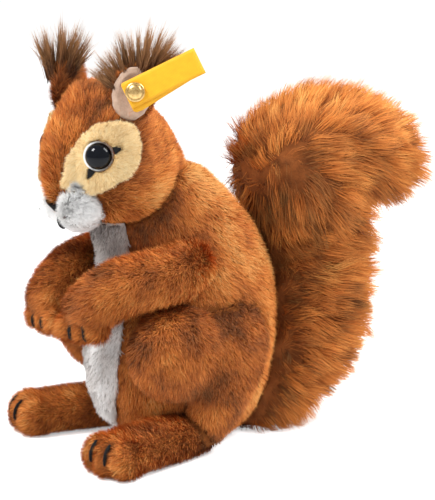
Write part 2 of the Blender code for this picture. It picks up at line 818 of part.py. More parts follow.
def make_ear(side, head, skins):
    word = "left" if side > 0 else "right"
    middle, facing, up = ear_frame(side)
    turn = frame_of(facing, up)
    sizes = Vector((EAR_HALF_WIDTH, EAR_HALF_THICKNESS, EAR_HALF_LENGTH))
    ear = keep("ear_" + word, ball(middle, sizes, turn, 12, 8), skins["plush"])
    rim = Vector((LINING_RIM, EAR_HALF_THICKNESS - LINING_HALF_THICKNESS, LINING_RIM))
    gap = Vector((CLEARANCE, CLEARANCE, CLEARANCE))
    front = middle + facing * (EAR_HALF_THICKNESS - LINING_SEAT)
    lining = keep("inner_ear_" + word, ball(front, sizes - rim, turn, 12, 7), skins["felt_beige"])
    combine(ear, helper("seat", ball(front, sizes - rim + gap, turn, 12, 7)))
    hollow = sizes - rim - Vector((LINING_RIM, 0.0, LINING_RIM))
    bowl = ball(front + facing * LINING_THICKNESS, hollow, turn, 12, 7)
    combine(lining, helper("bowl", bowl))
    cut_by(ear, head)
    cut_by(lining, head)
    return ear, lining


def make_tuft(side, ear, head, skin):
    """A fan of long pile behind the ear: a rim of pointed locks, and a second rim inside it."""
    word = "left" if side > 0 else "right"
    middle, facing, up = ear_frame(side)
    turn = frame_of(facing, up)
    root = middle - facing * (EAR_HALF_THICKNESS - TUFT_INSET) + up * TUFT_RAISE
    sides = 14
    bm = bmesh.new()
    loops = []
    for low_height, high_height, low_width, high_width in TUFT_RIMS:
        loop = []
        for side_number in range(sides):
            high = side_number % 2
            rise = high_height if high else low_height
            width = high_width if high else low_width
            angle = 2 * math.pi * side_number / sides
            away = (
                turn.col[0] * TUFT_HALF_WIDTH * math.cos(angle)
                + turn.col[1] * TUFT_HALF_THICKNESS * math.sin(angle)
            )
            loop.append(bm.verts.new((root + away * width + up * rise * TUFT_LENGTH) * MM))
        loops.append(loop)
    for low, high in zip(loops, loops[1:]):
        close_sides(bm, low, high)
    for loop, rise in zip((loops[0], loops[-1]), TUFT_ENDS):
        pole = bm.verts.new((root + up * rise * TUFT_LENGTH) * MM)
        for i in range(sides):
            bm.faces.new((loop[i], loop[(i + 1) % sides], pole))
    made = keep("ear_tuft_" + word, bm, skin)
    cut_by(made, ear, head)
    return made


def make_ribbon(head, ear, lining, tuft, skins):
    """The left ear's folded ribbon, and the rivet through ribbon, lining and ear."""
    middle, facing, up = ear_frame(1)
    back = Vector((0, 1, 0)) - facing * facing.y
    back.normalize()
    backwards, upwards, outwards = RIBBON_WAY
    along = back * backwards + Vector((0, 0, upwards)) + facing * outwards
    along.normalize()
    square = along.cross(facing).normalized()
    out = square.cross(along).normalized()
    if out.dot(facing) < 0:
        out = -out
    rim = EAR_HALF_THICKNESS - LINING_SEAT + LINING_HALF_THICKNESS
    spot = middle + facing * (rim + 2 * CLEARANCE) + back * RIVET_SPOT[0] + up * RIVET_SPOT[1]
    start, end = RIBBON_START, RIBBON_START + RIBBON_LENGTH
    one, two = RIBBON_THICKNESS, RIBBON_THICKNESS + RIBBON_GAP
    rows = (
        (start, 0.0),
        (end, 0.0),
        (end + one, two / 2 + RIBBON_CREASE),
        (end + one, two / 2 + one - RIBBON_CREASE),
        (end, two + one),
        (start, two + one),
        (start, two),
        (end - one, two),
        (end - one, one),
        (start, one),
    )
    bm = bmesh.new()
    edges = []
    for off in (-RIBBON_WIDTH / 2, RIBBON_WIDTH / 2):
        spots = [spot + along * a + out * b + square * off for a, b in rows]
        edges.append([bm.verts.new(place * MM) for place in spots])
    bm.faces.new(edges[0])
    bm.faces.new(edges[1])
    close_sides(bm, *edges)
    ribbon = keep("ear_tag", bm, skins["ribbon"])

    base = two + one + CLEARANCE
    post = RIVET_POST_RADIUS
    back_end = base - RIVET_GRIP - RIVET_CAP_HEIGHT
    profile = [
        (0.0, back_end),
        (RIVET_CAP_RADIUS, back_end),
        (RIVET_CAP_RADIUS, back_end + RIVET_CAP_HEIGHT),
        (post, back_end + RIVET_CAP_HEIGHT),
        (post, base),
        (RIVET_HEAD_RADIUS, base),
    ]
    bulge = 3
    for step in range(bulge):
        angle = math.radians(90.0 * step / bulge)
        rise = RIVET_RIM + (RIVET_HEAD_HEIGHT - RIVET_RIM) * math.sin(angle)
        profile.append((RIVET_HEAD_RADIUS * math.cos(angle), base + rise))
    profile.append((0.0, base + RIVET_HEAD_HEIGHT))
    turn = frame_of(out, square)
    keep("ear_button", revolved(profile, spot * MM, turn, sides=14), skins["brass"])
    wide, narrow = RIVET_CAP_RADIUS + CLEARANCE, post + CLEARANCE
    shoulder = back_end + RIVET_CAP_HEIGHT + CLEARANCE
    deep = back_end - CLEARANCE
    hole = (
        (0.0, deep),
        (wide, deep),
        (wide, shoulder),
        (narrow, shoulder),
        (narrow, RIVET_CLEAR_OUT),
        (0.0, RIVET_CLEAR_OUT),
    )
    for thing in (ribbon, lining, ear, tuft, head):
        combine(thing, helper("rivet_hole", revolved(hole, spot * MM, turn, sides=10)))


def make_tail(skin):
    """A bushy tail that rises behind the back and curls over backwards."""
    bm = skin_through(
        upright_sections(TRUNK),
        (1, 0, 0),
        TRUNK_BASE_CAP,
        TRUNK_CAP,
        16,
        10,
        lock=LOCK_HEIGHT,
        level=(0, 0, 1),
    )
    made = keep("tail", bm, skin)
    sections = [(0.0, y, z, width, depth, 0.0) for y, z, width, depth in CROWN]
    crown = skin_through(sections, (1, 0, 0), CROWN_CAP, CROWN_CAP, 16, 7, lock=LOCK_HEIGHT)
    combine(made, helper("crown", crown), "UNION")
    stand_on_floor(made)
    return made


def centre_on_origin():
    """Moves the whole toy so that the origin is below the middle of its box, on the floor."""
    shown = [thing for thing in bpy.data.objects if not thing.hide_render]
    for thing in shown:
        drop_flaps(thing)
    ys = [vertex.co.y for thing in shown for vertex in thing.data.vertices]
    xs = [vertex.co.x for thing in shown for vertex in thing.data.vertices]
    move = Vector((-(min(xs) + max(xs)) / 2, -(min(ys) + max(ys)) / 2, 0.0))
    for thing in shown:
        thing.data.transform(Matrix.Translation(move))
    print("moved by", [round(number / MM, 3) for number in move])


def build():
    clear_scene()
    skins = {
        "plush": material("rust_plush", (0.46, 0.17, 0.035)),
        "tail": material("tail_pile", (0.50, 0.20, 0.05)),
        "white": material("white_plush", (0.80, 0.77, 0.74)),
        "cream": material("cream_velour", (0.76, 0.58, 0.34)),
        "felt_white": material("white_felt", (0.85, 0.85, 0.85)),
        "felt_beige": material("beige_felt", (0.50, 0.33, 0.24)),
        "tuft": material("brown_pile", (0.15, 0.075, 0.045)),
        "thread": material("black_thread", (0.015, 0.014, 0.016), 0.6),
        "eye": material("eye_plastic", (0.006, 0.007, 0.010), 0.06),
        "washer": material("washer_plastic", (0.75, 0.75, 0.72), 0.5),
        "ribbon": material("yellow_ribbon", (0.90, 0.55, 0.02), 0.7),
        "brass": material("brass", (0.80, 0.55, 0.20), 0.25, 1.0),
    }
    head = make_head(skins["plush"])
    form = spare(head)
    muzzle, muzzle_form = make_muzzle(form, skins["white"])
    torso = make_torso(skins["plush"])
    bib = make_bib(torso, skins["white"])
    cut_by(torso, form, muzzle_form)
    cut_by(bib, form, muzzle_form)
    tail = make_tail(skins["tail"])
    cut_by(tail, torso)
    for side in (1, -1):
        arm = make_arm(side, skins)
        leg = make_leg(side, skins["plush"])
        foot = make_foot(side, skins)
        cut_by(arm, torso, bib, form, muzzle_form)
        cut_by(foot, torso, bib)
        cut_by(leg, torso, bib, arm, foot)
        cut_by(tail, leg, foot)
        ear, lining = make_ear(side, form, skins)
        tuft = make_tuft(side, ear, form, skins["tuft"])
        if side > 0:
            make_ribbon(head, ear, lining, tuft, skins)
        make_eye(side, head, form, (ear, muzzle_form), skins)
    make_nose(form, muzzle, skins["thread"])
    bpy.data.objects.remove(form)
    bpy.data.objects.remove(muzzle_form)
    centre_on_origin()


build()
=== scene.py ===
# %% [markdown]
# # A sitting plush squirrel
#
# The real toy is a set of sewn skins of plush, stuffed firmly with fibre. Short rust pile
# covers the body, long pile the tail, white pile the snout and the bib, and clipped velour the
# panels round the eyes. Felt lines the ears, and a ribbon is riveted through one of them.
#
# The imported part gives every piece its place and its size. This lesson dresses it: each stuffed
# solid becomes a soft skin, and a pile of real strands grows on it.

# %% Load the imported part
import functools
import json
import math

import bpy
import numpy as np
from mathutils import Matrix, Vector, noise
from mathutils.bvhtree import BVHTree
from mathutils.kdtree import KDTree

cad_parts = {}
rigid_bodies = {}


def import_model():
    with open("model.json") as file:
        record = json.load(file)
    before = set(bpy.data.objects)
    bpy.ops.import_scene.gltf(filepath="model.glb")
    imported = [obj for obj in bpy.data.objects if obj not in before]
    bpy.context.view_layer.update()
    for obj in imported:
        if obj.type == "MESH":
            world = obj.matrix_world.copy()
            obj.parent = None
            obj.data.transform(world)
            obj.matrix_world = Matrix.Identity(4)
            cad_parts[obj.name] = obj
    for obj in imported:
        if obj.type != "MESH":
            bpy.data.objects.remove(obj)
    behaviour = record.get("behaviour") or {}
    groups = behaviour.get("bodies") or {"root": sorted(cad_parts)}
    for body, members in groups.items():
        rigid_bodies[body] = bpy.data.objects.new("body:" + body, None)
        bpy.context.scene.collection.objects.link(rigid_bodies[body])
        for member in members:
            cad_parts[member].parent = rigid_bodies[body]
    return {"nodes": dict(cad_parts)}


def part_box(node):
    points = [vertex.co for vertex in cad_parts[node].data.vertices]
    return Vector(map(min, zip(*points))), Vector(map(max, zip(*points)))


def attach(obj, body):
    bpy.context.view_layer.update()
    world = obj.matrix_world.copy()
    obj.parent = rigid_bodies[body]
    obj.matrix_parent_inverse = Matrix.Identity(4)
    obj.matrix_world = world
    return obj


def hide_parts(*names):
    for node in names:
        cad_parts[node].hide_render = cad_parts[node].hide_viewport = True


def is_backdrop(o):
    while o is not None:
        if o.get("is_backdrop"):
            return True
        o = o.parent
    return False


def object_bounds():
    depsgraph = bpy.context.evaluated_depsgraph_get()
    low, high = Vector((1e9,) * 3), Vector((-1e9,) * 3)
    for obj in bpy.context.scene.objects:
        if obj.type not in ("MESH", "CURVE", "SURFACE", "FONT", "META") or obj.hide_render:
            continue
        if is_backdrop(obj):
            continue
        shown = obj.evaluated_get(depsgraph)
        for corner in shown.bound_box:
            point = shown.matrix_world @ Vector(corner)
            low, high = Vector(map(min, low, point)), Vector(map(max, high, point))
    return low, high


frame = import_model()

MM = 0.001
BODY = "root"
LEFT = 1
RIGHT = -1
SIDE_NAMES = {LEFT: "left", RIGHT: "right"}
scene = bpy.context.scene
nodes = frame["nodes"]
cad_box = [list(corner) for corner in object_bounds()]
print("solids:", len(nodes))

# %% [markdown]
# ## Camera
#
# The toy is seen from its left and a little from above. A long lens at 90 cm keeps the near
# foot from looking too large. The lens is worked out from the scale that the picture has at
# the toy's middle, so the toy fills the frame as it should.

# %% Place the camera
AIM = Vector((0.0, -9.418, 83.0)) * MM
CAMERA_TURN = math.radians(58.0)
CAMERA_RISE = math.radians(12.0)
CAMERA_DISTANCE = 0.90
PICTURE_HEIGHT = 500
PIXEL_SIZE = 0.455 * MM
SENSOR = 36.0


def placed(name, data):
    """A new object for the data, linked into the scene."""
    thing = bpy.data.objects.new(name, data)
    scene.collection.objects.link(thing)
    return thing


to_camera = Vector((
    math.sin(CAMERA_TURN) * math.cos(CAMERA_RISE),
    -math.cos(CAMERA_TURN) * math.cos(CAMERA_RISE),
    math.sin(CAMERA_RISE),
))
camera = placed("camera", bpy.data.cameras.new("camera"))
camera.data.sensor_fit = "VERTICAL"
camera.data.sensor_height = SENSOR
camera.data.lens = SENSOR * CAMERA_DISTANCE / (PICTURE_HEIGHT * PIXEL_SIZE)
camera.location = AIM + to_camera * CAMERA_DISTANCE
camera.rotation_euler = (-to_camera).to_track_quat("-Z", "Y").to_euler()
scene.camera = camera
print("lens:", round(camera.data.lens, 1), "mm")

# %% [markdown]
# ## Writing materials as sums
#
# A material is a net of nodes. Wiring each one by hand hides what is worked out, so a small
# class stands for a socket and lets it be added, multiplied or raised to a power like a number.
# Each operation adds one Math node behind it.

# %% A socket that can be used in a sum
def sum_of(operation, swapped=False):
    """A method that adds one Math node for the wire and another term."""
    def method(wire, other):
        return wire.reckon(operation, *((other, wire) if swapped else (wire, other)))
    return method


class Wire:
    def __init__(self, tree, socket):
        self.tree = tree
        self.socket = socket

    def reckon(self, operation, *terms):
        node = self.tree.nodes.new("ShaderNodeMath")
        node.operation = operation
        for slot, value in zip(node.inputs, terms):
            plug(self.tree, slot, value)
        return Wire(self.tree, node.outputs[0])

    def sine(self):
        return self.reckon("SINE", self)

    __add__, __radd__ = sum_of("ADD"), sum_of("ADD", swapped=True)
    __mul__, __rmul__ = sum_of("MULTIPLY"), sum_of("MULTIPLY", swapped=True)
    __pow__ = sum_of("POWER")


def plug(tree, slot, value):
    """Links a wire to a socket, or writes a plain value on it."""
    if isinstance(value, Wire):
        tree.links.new(value.socket, slot)
    else:
        slot.default_value = value


# %% [markdown]
# ## One method for every other node
#
# `Finish` starts a material with its Principled shader. Its `node` method makes any node from
# its type, its settings and its inputs, and `drive` joins a result to the shader. Numbers that
# are the same all over the surface are written on the shader itself, so that they survive the
# export to other programs.

# %% Start a material and add nodes to it
class Finish:
    def __init__(self, name, **constants):
        self.material = bpy.data.materials.new(name)
        self.material.use_nodes = True
        self.tree = self.material.node_tree
        self.shader = self.tree.nodes["Principled BSDF"]
        for socket, value in constants.items():
            self.shader.inputs[socket.replace("_", " ")].default_value = value

    def node(self, kind, settings=None, inputs=None, output=0):
        made = self.tree.nodes.new(kind)
        for key, value in (settings or {}).items():
            if key == "stops":
                write_stops(made.color_ramp, value)
            else:
                setattr(made, key, value)
        for key, value in (inputs or {}).items():
            plug(self.tree, made.inputs[key], value)
        return Wire(self.tree, made.outputs[output])

    def drive(self, socket, wire):
        plug(self.tree, self.shader.inputs[socket], wire)

    def noise(self, size, detail=2.0):
        """Soft noise whose spots are about the given size in millimetres."""
        place = self.node("ShaderNodeTexCoord", output="Object")
        inputs = {"Vector": place, "Scale": 1.0 / (size * MM), "Detail": detail}
        return self.node("ShaderNodeTexNoise", {}, inputs, "Fac")

    def dye(self, stops, share):
        """Base colour from (position, colour) stops, read at a share between 0 and 1."""
        ramp = self.node("ShaderNodeValToRGB", {"stops": stops}, {"Fac": share})
        self.drive("Base Color", ramp)

    def blend(self, share, first, second):
        """Mixes two colours. The Mix node numbers its sockets, and 6, 7 and 2 are colours."""
        kind = {"data_type": "RGBA"}
        return self.node("ShaderNodeMix", kind, {0: share, 6: first, 7: second}, 2)

    def raise_bumps(self, height, depth):
        """Feeds a height between 0 and 1, worth depth in millimetres, to the normal."""
        inputs = {"Height": height, "Distance": depth * MM, "Strength": 1.0}
        self.drive("Normal", self.node("ShaderNodeBump", {}, inputs, "Normal"))


def grained(name, grain, stops, depth=0.0, **constants):
    """A finish coloured, and lifted by a depth, by noise of a (size, detail) grain."""
    finish = Finish(name, **constants)
    wire = finish.noise(*grain)
    finish.dye(stops, wire)
    if depth:
        finish.raise_bumps(wire, depth)
    return finish, wire


def write_stops(ramp, stops):
    """Sets a colour ramp from (position, colour) pairs."""
    while len(ramp.elements) < len(stops):
        ramp.elements.new(1.0)
    for element, (position, colour) in zip(ramp.elements, stops):
        element.position = position
        element.color = (*colour, 1.0)


# %% [markdown]
# ## Floor, background and light
#
# A soft toy is best lit by a wide, soft light with one gentle key from the upper left, so that
# the pile shows its relief without hard shadows. The background is white only for the camera.
# The floor adds a little of its own light for the camera too, which keeps the toy's shadow
# but lets the open floor go white.

# %% Light the scene
SKY_LEVEL = 0.60
LAMP_DISTANCE = 1.0
KEY_SIZE = 0.28
KEY_POWER = 9.0
RIM_SIZE = 0.50
RIM_POWER = 11.0
HALF_FLOOR = 3.0
FLOOR_LIFT = 0.50
FLOOR_GREY = 0.86

world = bpy.data.worlds.new("studio")
scene.world = world
world.use_nodes = True
sky = world.node_tree.nodes["Background"]
sky_paths = world.node_tree.nodes.new("ShaderNodeLightPath")
seen = Wire(world.node_tree, sky_paths.outputs["Is Camera Ray"])
plug(world.node_tree, sky.inputs["Strength"], SKY_LEVEL + (1.0 - SKY_LEVEL) * seen)
sky.inputs["Color"].default_value = (1.0, 1.0, 1.0, 1.0)


def soft_light(name, way, size, power):
    """A square lamp that looks at the toy's middle from the given direction."""
    lamp = bpy.data.lights.new(name, "AREA")
    lamp.size = size
    lamp.energy = power
    holder = placed(name, lamp)
    way = way.normalized()
    holder.location = AIM + way * LAMP_DISTANCE
    holder.rotation_euler = (-way).to_track_quat("-Z", "Y").to_euler()


def mesh_piece(name, corners, faces):
    """A smooth mesh object from its corners and faces."""
    mesh = bpy.data.meshes.new(name)
    mesh.from_pydata([tuple(corner) for corner in corners], [], faces)
    mesh.shade_smooth()
    return placed(name, mesh)


picture_right = Vector((math.cos(CAMERA_TURN), math.sin(CAMERA_TURN), 0.0))
UPWARD = Vector((0.0, 0.0, 1.0))
key_way = to_camera * 0.55 - picture_right * 0.75 + UPWARD * 0.85
rim_way = picture_right * 0.85 + to_camera * 0.10 + UPWARD * 0.85
soft_light("key", key_way, KEY_SIZE, KEY_POWER)
soft_light("rim", rim_way, RIM_SIZE, RIM_POWER)

signs = ((-1, -1), (1, -1), (1, 1), (-1, 1))
floor_corners = [(x * HALF_FLOOR, y * HALF_FLOOR, 0.0) for x, y in signs]
floor = mesh_piece("floor", floor_corners, [(0, 1, 2, 3)])
floor_finish = Finish("pale_floor", Roughness=0.9)
floor_finish.shader.inputs["Base Color"].default_value = (*[FLOOR_GREY] * 3, 1.0)
floor_seen = floor_finish.node("ShaderNodeLightPath", output="Is Camera Ray")
lift = FLOOR_LIFT * floor_seen
floor_finish.drive("Emission Color", floor_finish.node("ShaderNodeCombineColor", {}, {
    "Red": lift, "Green": lift, "Blue": lift,
}))
floor_finish.shader.inputs["Emission Strength"].default_value = 1.0
floor.data.materials.append(floor_finish.material)
floor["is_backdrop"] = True
scene.view_settings.view_transform = "Standard"
print("lamps:", len(bpy.data.lights))

# %% [markdown]
# ## The colour of a pile
#
# On real plush each strand is dark at its root, where little light reaches, and paler at its
# tip, and whole patches are lighter or darker where the pile was brushed. Each strand carries
# that in its map: across the map runs its tone, and up the map runs the way from root to tip.
# The material only reads those two numbers, so the colour is a function of the map alone.

# %% Make the pile finishes
MAP = "OFBake"


def pile_finish(name, stops, root_light, tip_colour, tip_share, roughness=0.62):
    """A dyed pile with painted shade at its roots, which keep a share of the light; its tips mix
    with a paler colour.
    """
    finish = Finish(name, Roughness=roughness, Specular_IOR_Level=0.12)
    place = finish.node("ShaderNodeUVMap", {"uv_map": MAP})
    tone, along = (
        finish.node("ShaderNodeSeparateXYZ", {}, {"Vector": place}, axis) for axis in "XY"
    )
    dye = finish.node("ShaderNodeValToRGB", {"stops": stops}, {"Fac": tone})
    # Painted shade: the colour is darkened towards the root, where little light reaches.
    painted_root_light = root_light + (1.0 - root_light) * along ** 0.6
    lit = finish.node("ShaderNodeVectorMath", {"operation": "SCALE"}, {0: dye, "Scale": painted_root_light})
    tips = tip_share * along ** 2.5
    finish.drive("Base Color", finish.blend(tips, lit, (*tip_colour, 1.0)))
    return finish.material


RUST_STOPS = (
    (0.0, (0.050, 0.010, 0.004)),
    (0.22, (0.20, 0.036, 0.007)),
    (0.48, (0.54, 0.122, 0.018)),
    (0.72, (0.78, 0.226, 0.034)),
    (0.90, (0.92, 0.37, 0.080)),
    (1.0, (0.96, 0.51, 0.165)),
)
TAIL_STOPS = (
    (0.0, (0.052, 0.011, 0.004)),
    (0.25, (0.21, 0.041, 0.008)),
    (0.50, (0.53, 0.124, 0.018)),
    (0.75, (0.76, 0.225, 0.038)),
    (1.0, (0.90, 0.42, 0.11)),
)
WHITE_STOPS = ((0.0, (0.66, 0.63, 0.61)), (0.5, (0.97, 0.96, 0.95)), (1.0, (0.99, 0.99, 0.98)))
VELOUR_STOPS = ((0.0, (0.58, 0.33, 0.12)), (0.5, (0.92, 0.66, 0.31)), (1.0, (0.97, 0.82, 0.50)))
BROWN_STOPS = (
    (0.0, (0.032, 0.012, 0.007)), (0.5, (0.10, 0.036, 0.016)), (1.0, (0.30, 0.125, 0.048)),
)
# The bib's white pile, painted greyer as painted shade; its darkest stops carry the throat's
# painted shade.
BIB_SHADED_STOPS = (
    (0.0, (0.10, 0.07, 0.06)), (0.4, (0.62, 0.57, 0.54)), (0.75, (0.90, 0.87, 0.85)),
    (1.0, (0.97, 0.96, 0.95)),
)
print("maps read by the piles:", MAP)

# %% [markdown]
# ## From faceted solid to soft skin
#
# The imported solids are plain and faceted, as a model for fitting and weighing should be. A sewn
# skin has no facets. So each stuffed solid is copied, rebuilt from small even cells, and eased
# until only its form is left. The skin stays where the solid is and hides it.

# %% Copy a solid as an even, eased skin
def own_mesh(name, thing):
    """Turns a thing with modifiers into a plain mesh piece of the given name."""
    held = thing.evaluated_get(bpy.context.evaluated_depsgraph_get())
    piece = placed(name, bpy.data.meshes.new_from_object(held))
    piece.data.name = name
    bpy.data.objects.remove(thing)
    piece.data.shade_smooth()
    return piece


def soft_skin(name, node, cell, easing, sink=0.0):
    """An eased copy of a solid. cell and sink are in millimetres."""
    draft = placed(name + "_draft", nodes[node].data.copy())
    draft.data.materials.clear()
    cells = draft.modifiers.new("cells", "REMESH")
    cells.mode = "VOXEL"
    cells.voxel_size = cell * MM
    ease = draft.modifiers.new("ease", "SMOOTH")
    ease.factor = 0.5
    ease.iterations = easing
    piece = own_mesh(name, draft)
    if sink:
        points, normals = skin_points(piece)
        piece.data.vertices.foreach_set("co", (points - normals * sink * MM).ravel())
        piece.data.update()
    return piece


def skin_points(piece):
    """The points of a mesh and the direction that the skin faces at each."""
    count = len(piece.data.vertices)
    points = np.empty(count * 3)
    normals = np.empty(count * 3)
    piece.data.vertices.foreach_get("co", points)
    piece.data.vertices.foreach_get("normal", normals)
    return points.reshape(-1, 3), normals.reshape(-1, 3)


def cover(thing, material):
    thing.data.materials.clear()
    thing.data.materials.append(material)


def finish_piece(piece, slot, material, stands_for=()):
    """Gives a piece its material and its place in the toy."""
    cover(piece, material)
    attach(piece, BODY)
    if stands_for:
        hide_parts(*stands_for)


# %% [markdown]
# ## Measuring the room round a skin
#
# Where two skins are sewn together the pile is caught in the seam and lies shorter, and no pile
# grows where a neighbour covers the skin. So the distance from each point to the neighbouring
# solids decides how long the pile is there, and how much painted shade darkens it for the crease
# at the seam.

# %% Distance to the neighbours
NO_NEIGHBOUR = 30.0


@functools.cache
def tree_of(node):
    """A solid's faces, sorted for quick searches."""
    mesh = nodes[node].data
    corners = [vertex.co for vertex in mesh.vertices]
    return BVHTree.FromPolygons(corners, [tuple(face.vertices) for face in mesh.polygons])


def middle_of(node):
    low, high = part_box(node)
    return (low + high) / 2


def room_beside(points, neighbours):
    """Millimetres from each point to the nearest of the named solids."""
    room = np.full(len(points), NO_NEIGHBOUR)
    for node in neighbours:
        tree = tree_of(node)
        for index, point in enumerate(points):
            gap = tree.find_nearest(Vector(point), NO_NEIGHBOUR * MM)[3]
            if gap is not None:
                room[index] = min(room[index], gap / MM)
    return room


# %% [markdown]
# ## Strands
#
# A strand is a narrow blade with a few levels that tapers to a point. Thousands of blades are
# made at once with numpy, because a loop in Python over each would be slow. Each corner also
# keeps a direction to be lit by, which lies between the way the blade faces and the way the skin
# faces. Real pile scatters light, so a patch of it looks soft although each strand is thin.

# %% Build many strands as one mesh
TWIST = 0.65
SKIN_SHARE = 0.62
MAP_EDGE = 0.02


def unit(vectors):
    lengths = np.linalg.norm(vectors, axis=-1, keepdims=True)
    return vectors / np.maximum(lengths, 1e-12)


def blades(curves, outward, half_width, draw):
    """Corners and lit directions for one blade on each curve."""
    heading = unit(curves[:, -1] - curves[:, 0])
    side = unit(np.cross(heading, outward) + 1e-6)
    angle = draw.normal(0.0, TWIST, len(curves))[:, None]
    side = side * np.cos(angle) + np.cross(heading, side) * np.sin(angle)
    face = np.cross(side, heading)
    flip = np.where((face * outward).sum(1, keepdims=True) < 0.0, -1.0, 1.0)
    side, face = side * flip, face * flip
    levels = curves.shape[1] - 1
    share = np.arange(levels) / levels
    taper = ((1.0 - share) ** 0.7)[None, :, None] * half_width[:, None, None]
    left = curves[:, :-1] - side[:, None] * taper
    right = curves[:, :-1] + side[:, None] * taper
    pairs = np.stack((left, right), 2).reshape(len(curves), levels * 2, 3)
    corners = np.concatenate((pairs, curves[:, -1:]), 1)
    lit = unit(outward * SKIN_SHARE + face * (1.0 - SKIN_SHARE))
    return corners, np.repeat(lit[:, None], levels * 2 + 1, 1)


def strand_piece(name, curves, outward, half_width, tones, draw):
    """One mesh of blades. tones lie between 0 and 1 and become the map's first number."""
    corners, lit = blades(curves, outward, half_width, draw)
    count, per_strand, _ = corners.shape
    levels = curves.shape[1] - 1
    quads = [(2 * k, 2 * k + 1, 2 * k + 3, 2 * k + 2) for k in range(levels - 1)]
    last = (2 * levels - 2, 2 * levels - 1, 2 * levels)
    pattern = np.array([index for quad in quads for index in quad] + list(last))
    starts = np.arange(count)[:, None] * per_strand
    loops = (starts + pattern[None]).ravel()
    sizes = np.tile([4] * len(quads) + [3], count)
    mesh = bpy.data.meshes.new(name)
    mesh.vertices.add(count * per_strand)
    mesh.vertices.foreach_set("co", corners.ravel())
    mesh.loops.add(len(loops))
    mesh.loops.foreach_set("vertex_index", loops)
    mesh.polygons.add(len(sizes))
    mesh.polygons.foreach_set("loop_start", np.concatenate(([0], np.cumsum(sizes)[:-1])))
    mesh.polygons.foreach_set("loop_total", sizes)
    mesh.update(calc_edges=True)
    edges = np.tile([-MAP_EDGE, MAP_EDGE], levels).tolist() + [0.0]
    across = np.clip(tones[:, None], 0.0, 1.0) * (1.0 - 2 * MAP_EDGE) + MAP_EDGE
    across = (across + np.array(edges)[None]).ravel()
    up = np.tile(np.append(np.repeat(np.arange(levels) / levels, 2), 1.0), count)
    uv = np.stack((across[loops], up[loops]), 1)
    mesh.uv_layers.new(name=MAP).data.foreach_set("uv", uv.ravel())
    mesh.shade_smooth()
    mesh.normals_split_custom_set_from_vertices(lit.reshape(-1, 3))
    return placed(name, mesh)


# %% [markdown]
# ## Roots
#
# On real plush the pile is woven in evenly. So the roots are scattered by area, and what the
# skin says at its points, such as the length of its pile, is carried over to each root.

# %% Spread roots over a skin
def slow_noise(points, size, shift=0.0):
    """Smooth noise between about -1 and 1, with spots of the given size in millimetres."""
    scale, offset = 1.0 / (size * MM), Vector((shift, shift, shift))
    return np.array([noise.noise(Vector(point) * scale + offset) for point in points])


def scatter(piece, count, weights, draw):
    """Roots spread over a mesh: the triangle's corner indices and each corner's share."""
    mesh = piece.data
    mesh.calc_loop_triangles()
    corners = np.empty(len(mesh.loop_triangles) * 3, dtype=np.int64)
    mesh.loop_triangles.foreach_get("vertices", corners)
    corners = corners.reshape(-1, 3)
    points, _ = skin_points(piece)
    a, b, c = (points[corners[:, k]] for k in range(3))
    area = np.linalg.norm(np.cross(b - a, c - a), axis=1) * weights[corners].mean(1)
    picked = draw.choice(len(corners), count, p=area / area.sum())
    first, second = np.sqrt(draw.random(count)), draw.random(count)
    shares = np.stack((1 - first, first * (1 - second), first * second), 1)
    return corners[picked], shares


def spread(values, corners, shares):
    """Values at the roots from values at the mesh's points."""
    picked = values[corners]
    if values.ndim == 1:
        return (picked * shares).sum(1)
    return (picked * shares[:, :, None]).sum(1)


def lock_guides(roots, guides, draw):
    """For each root the index of the nearest guide root."""
    chosen = draw.choice(len(roots), guides, replace=False)
    tree = KDTree(guides)
    for place, index in enumerate(chosen):
        tree.insert(Vector(roots[index]), place)
    tree.balance()
    return chosen[[tree.find(Vector(root))[1] for root in roots]]


# %% [markdown]
# ## Growing pile on a skin
#
# Each strand starts at its own lean, follows the way the pile is combed there and bends on as
# it grows. Neighbouring strands are drawn to a shared guide strand, because real pile clings
# into small locks. Slow noise varies the tone and the comb, as brushing and handling do.

# %% Grow a coat
UP = np.array((0.0, 0.0, 1.0))
FLOOR_GAP = 0.05
LENGTH_NOISE = 0.15
LENGTH_SPREAD = (0.72, 1.12)
WIDTH_SPREAD = (0.75, 1.25)


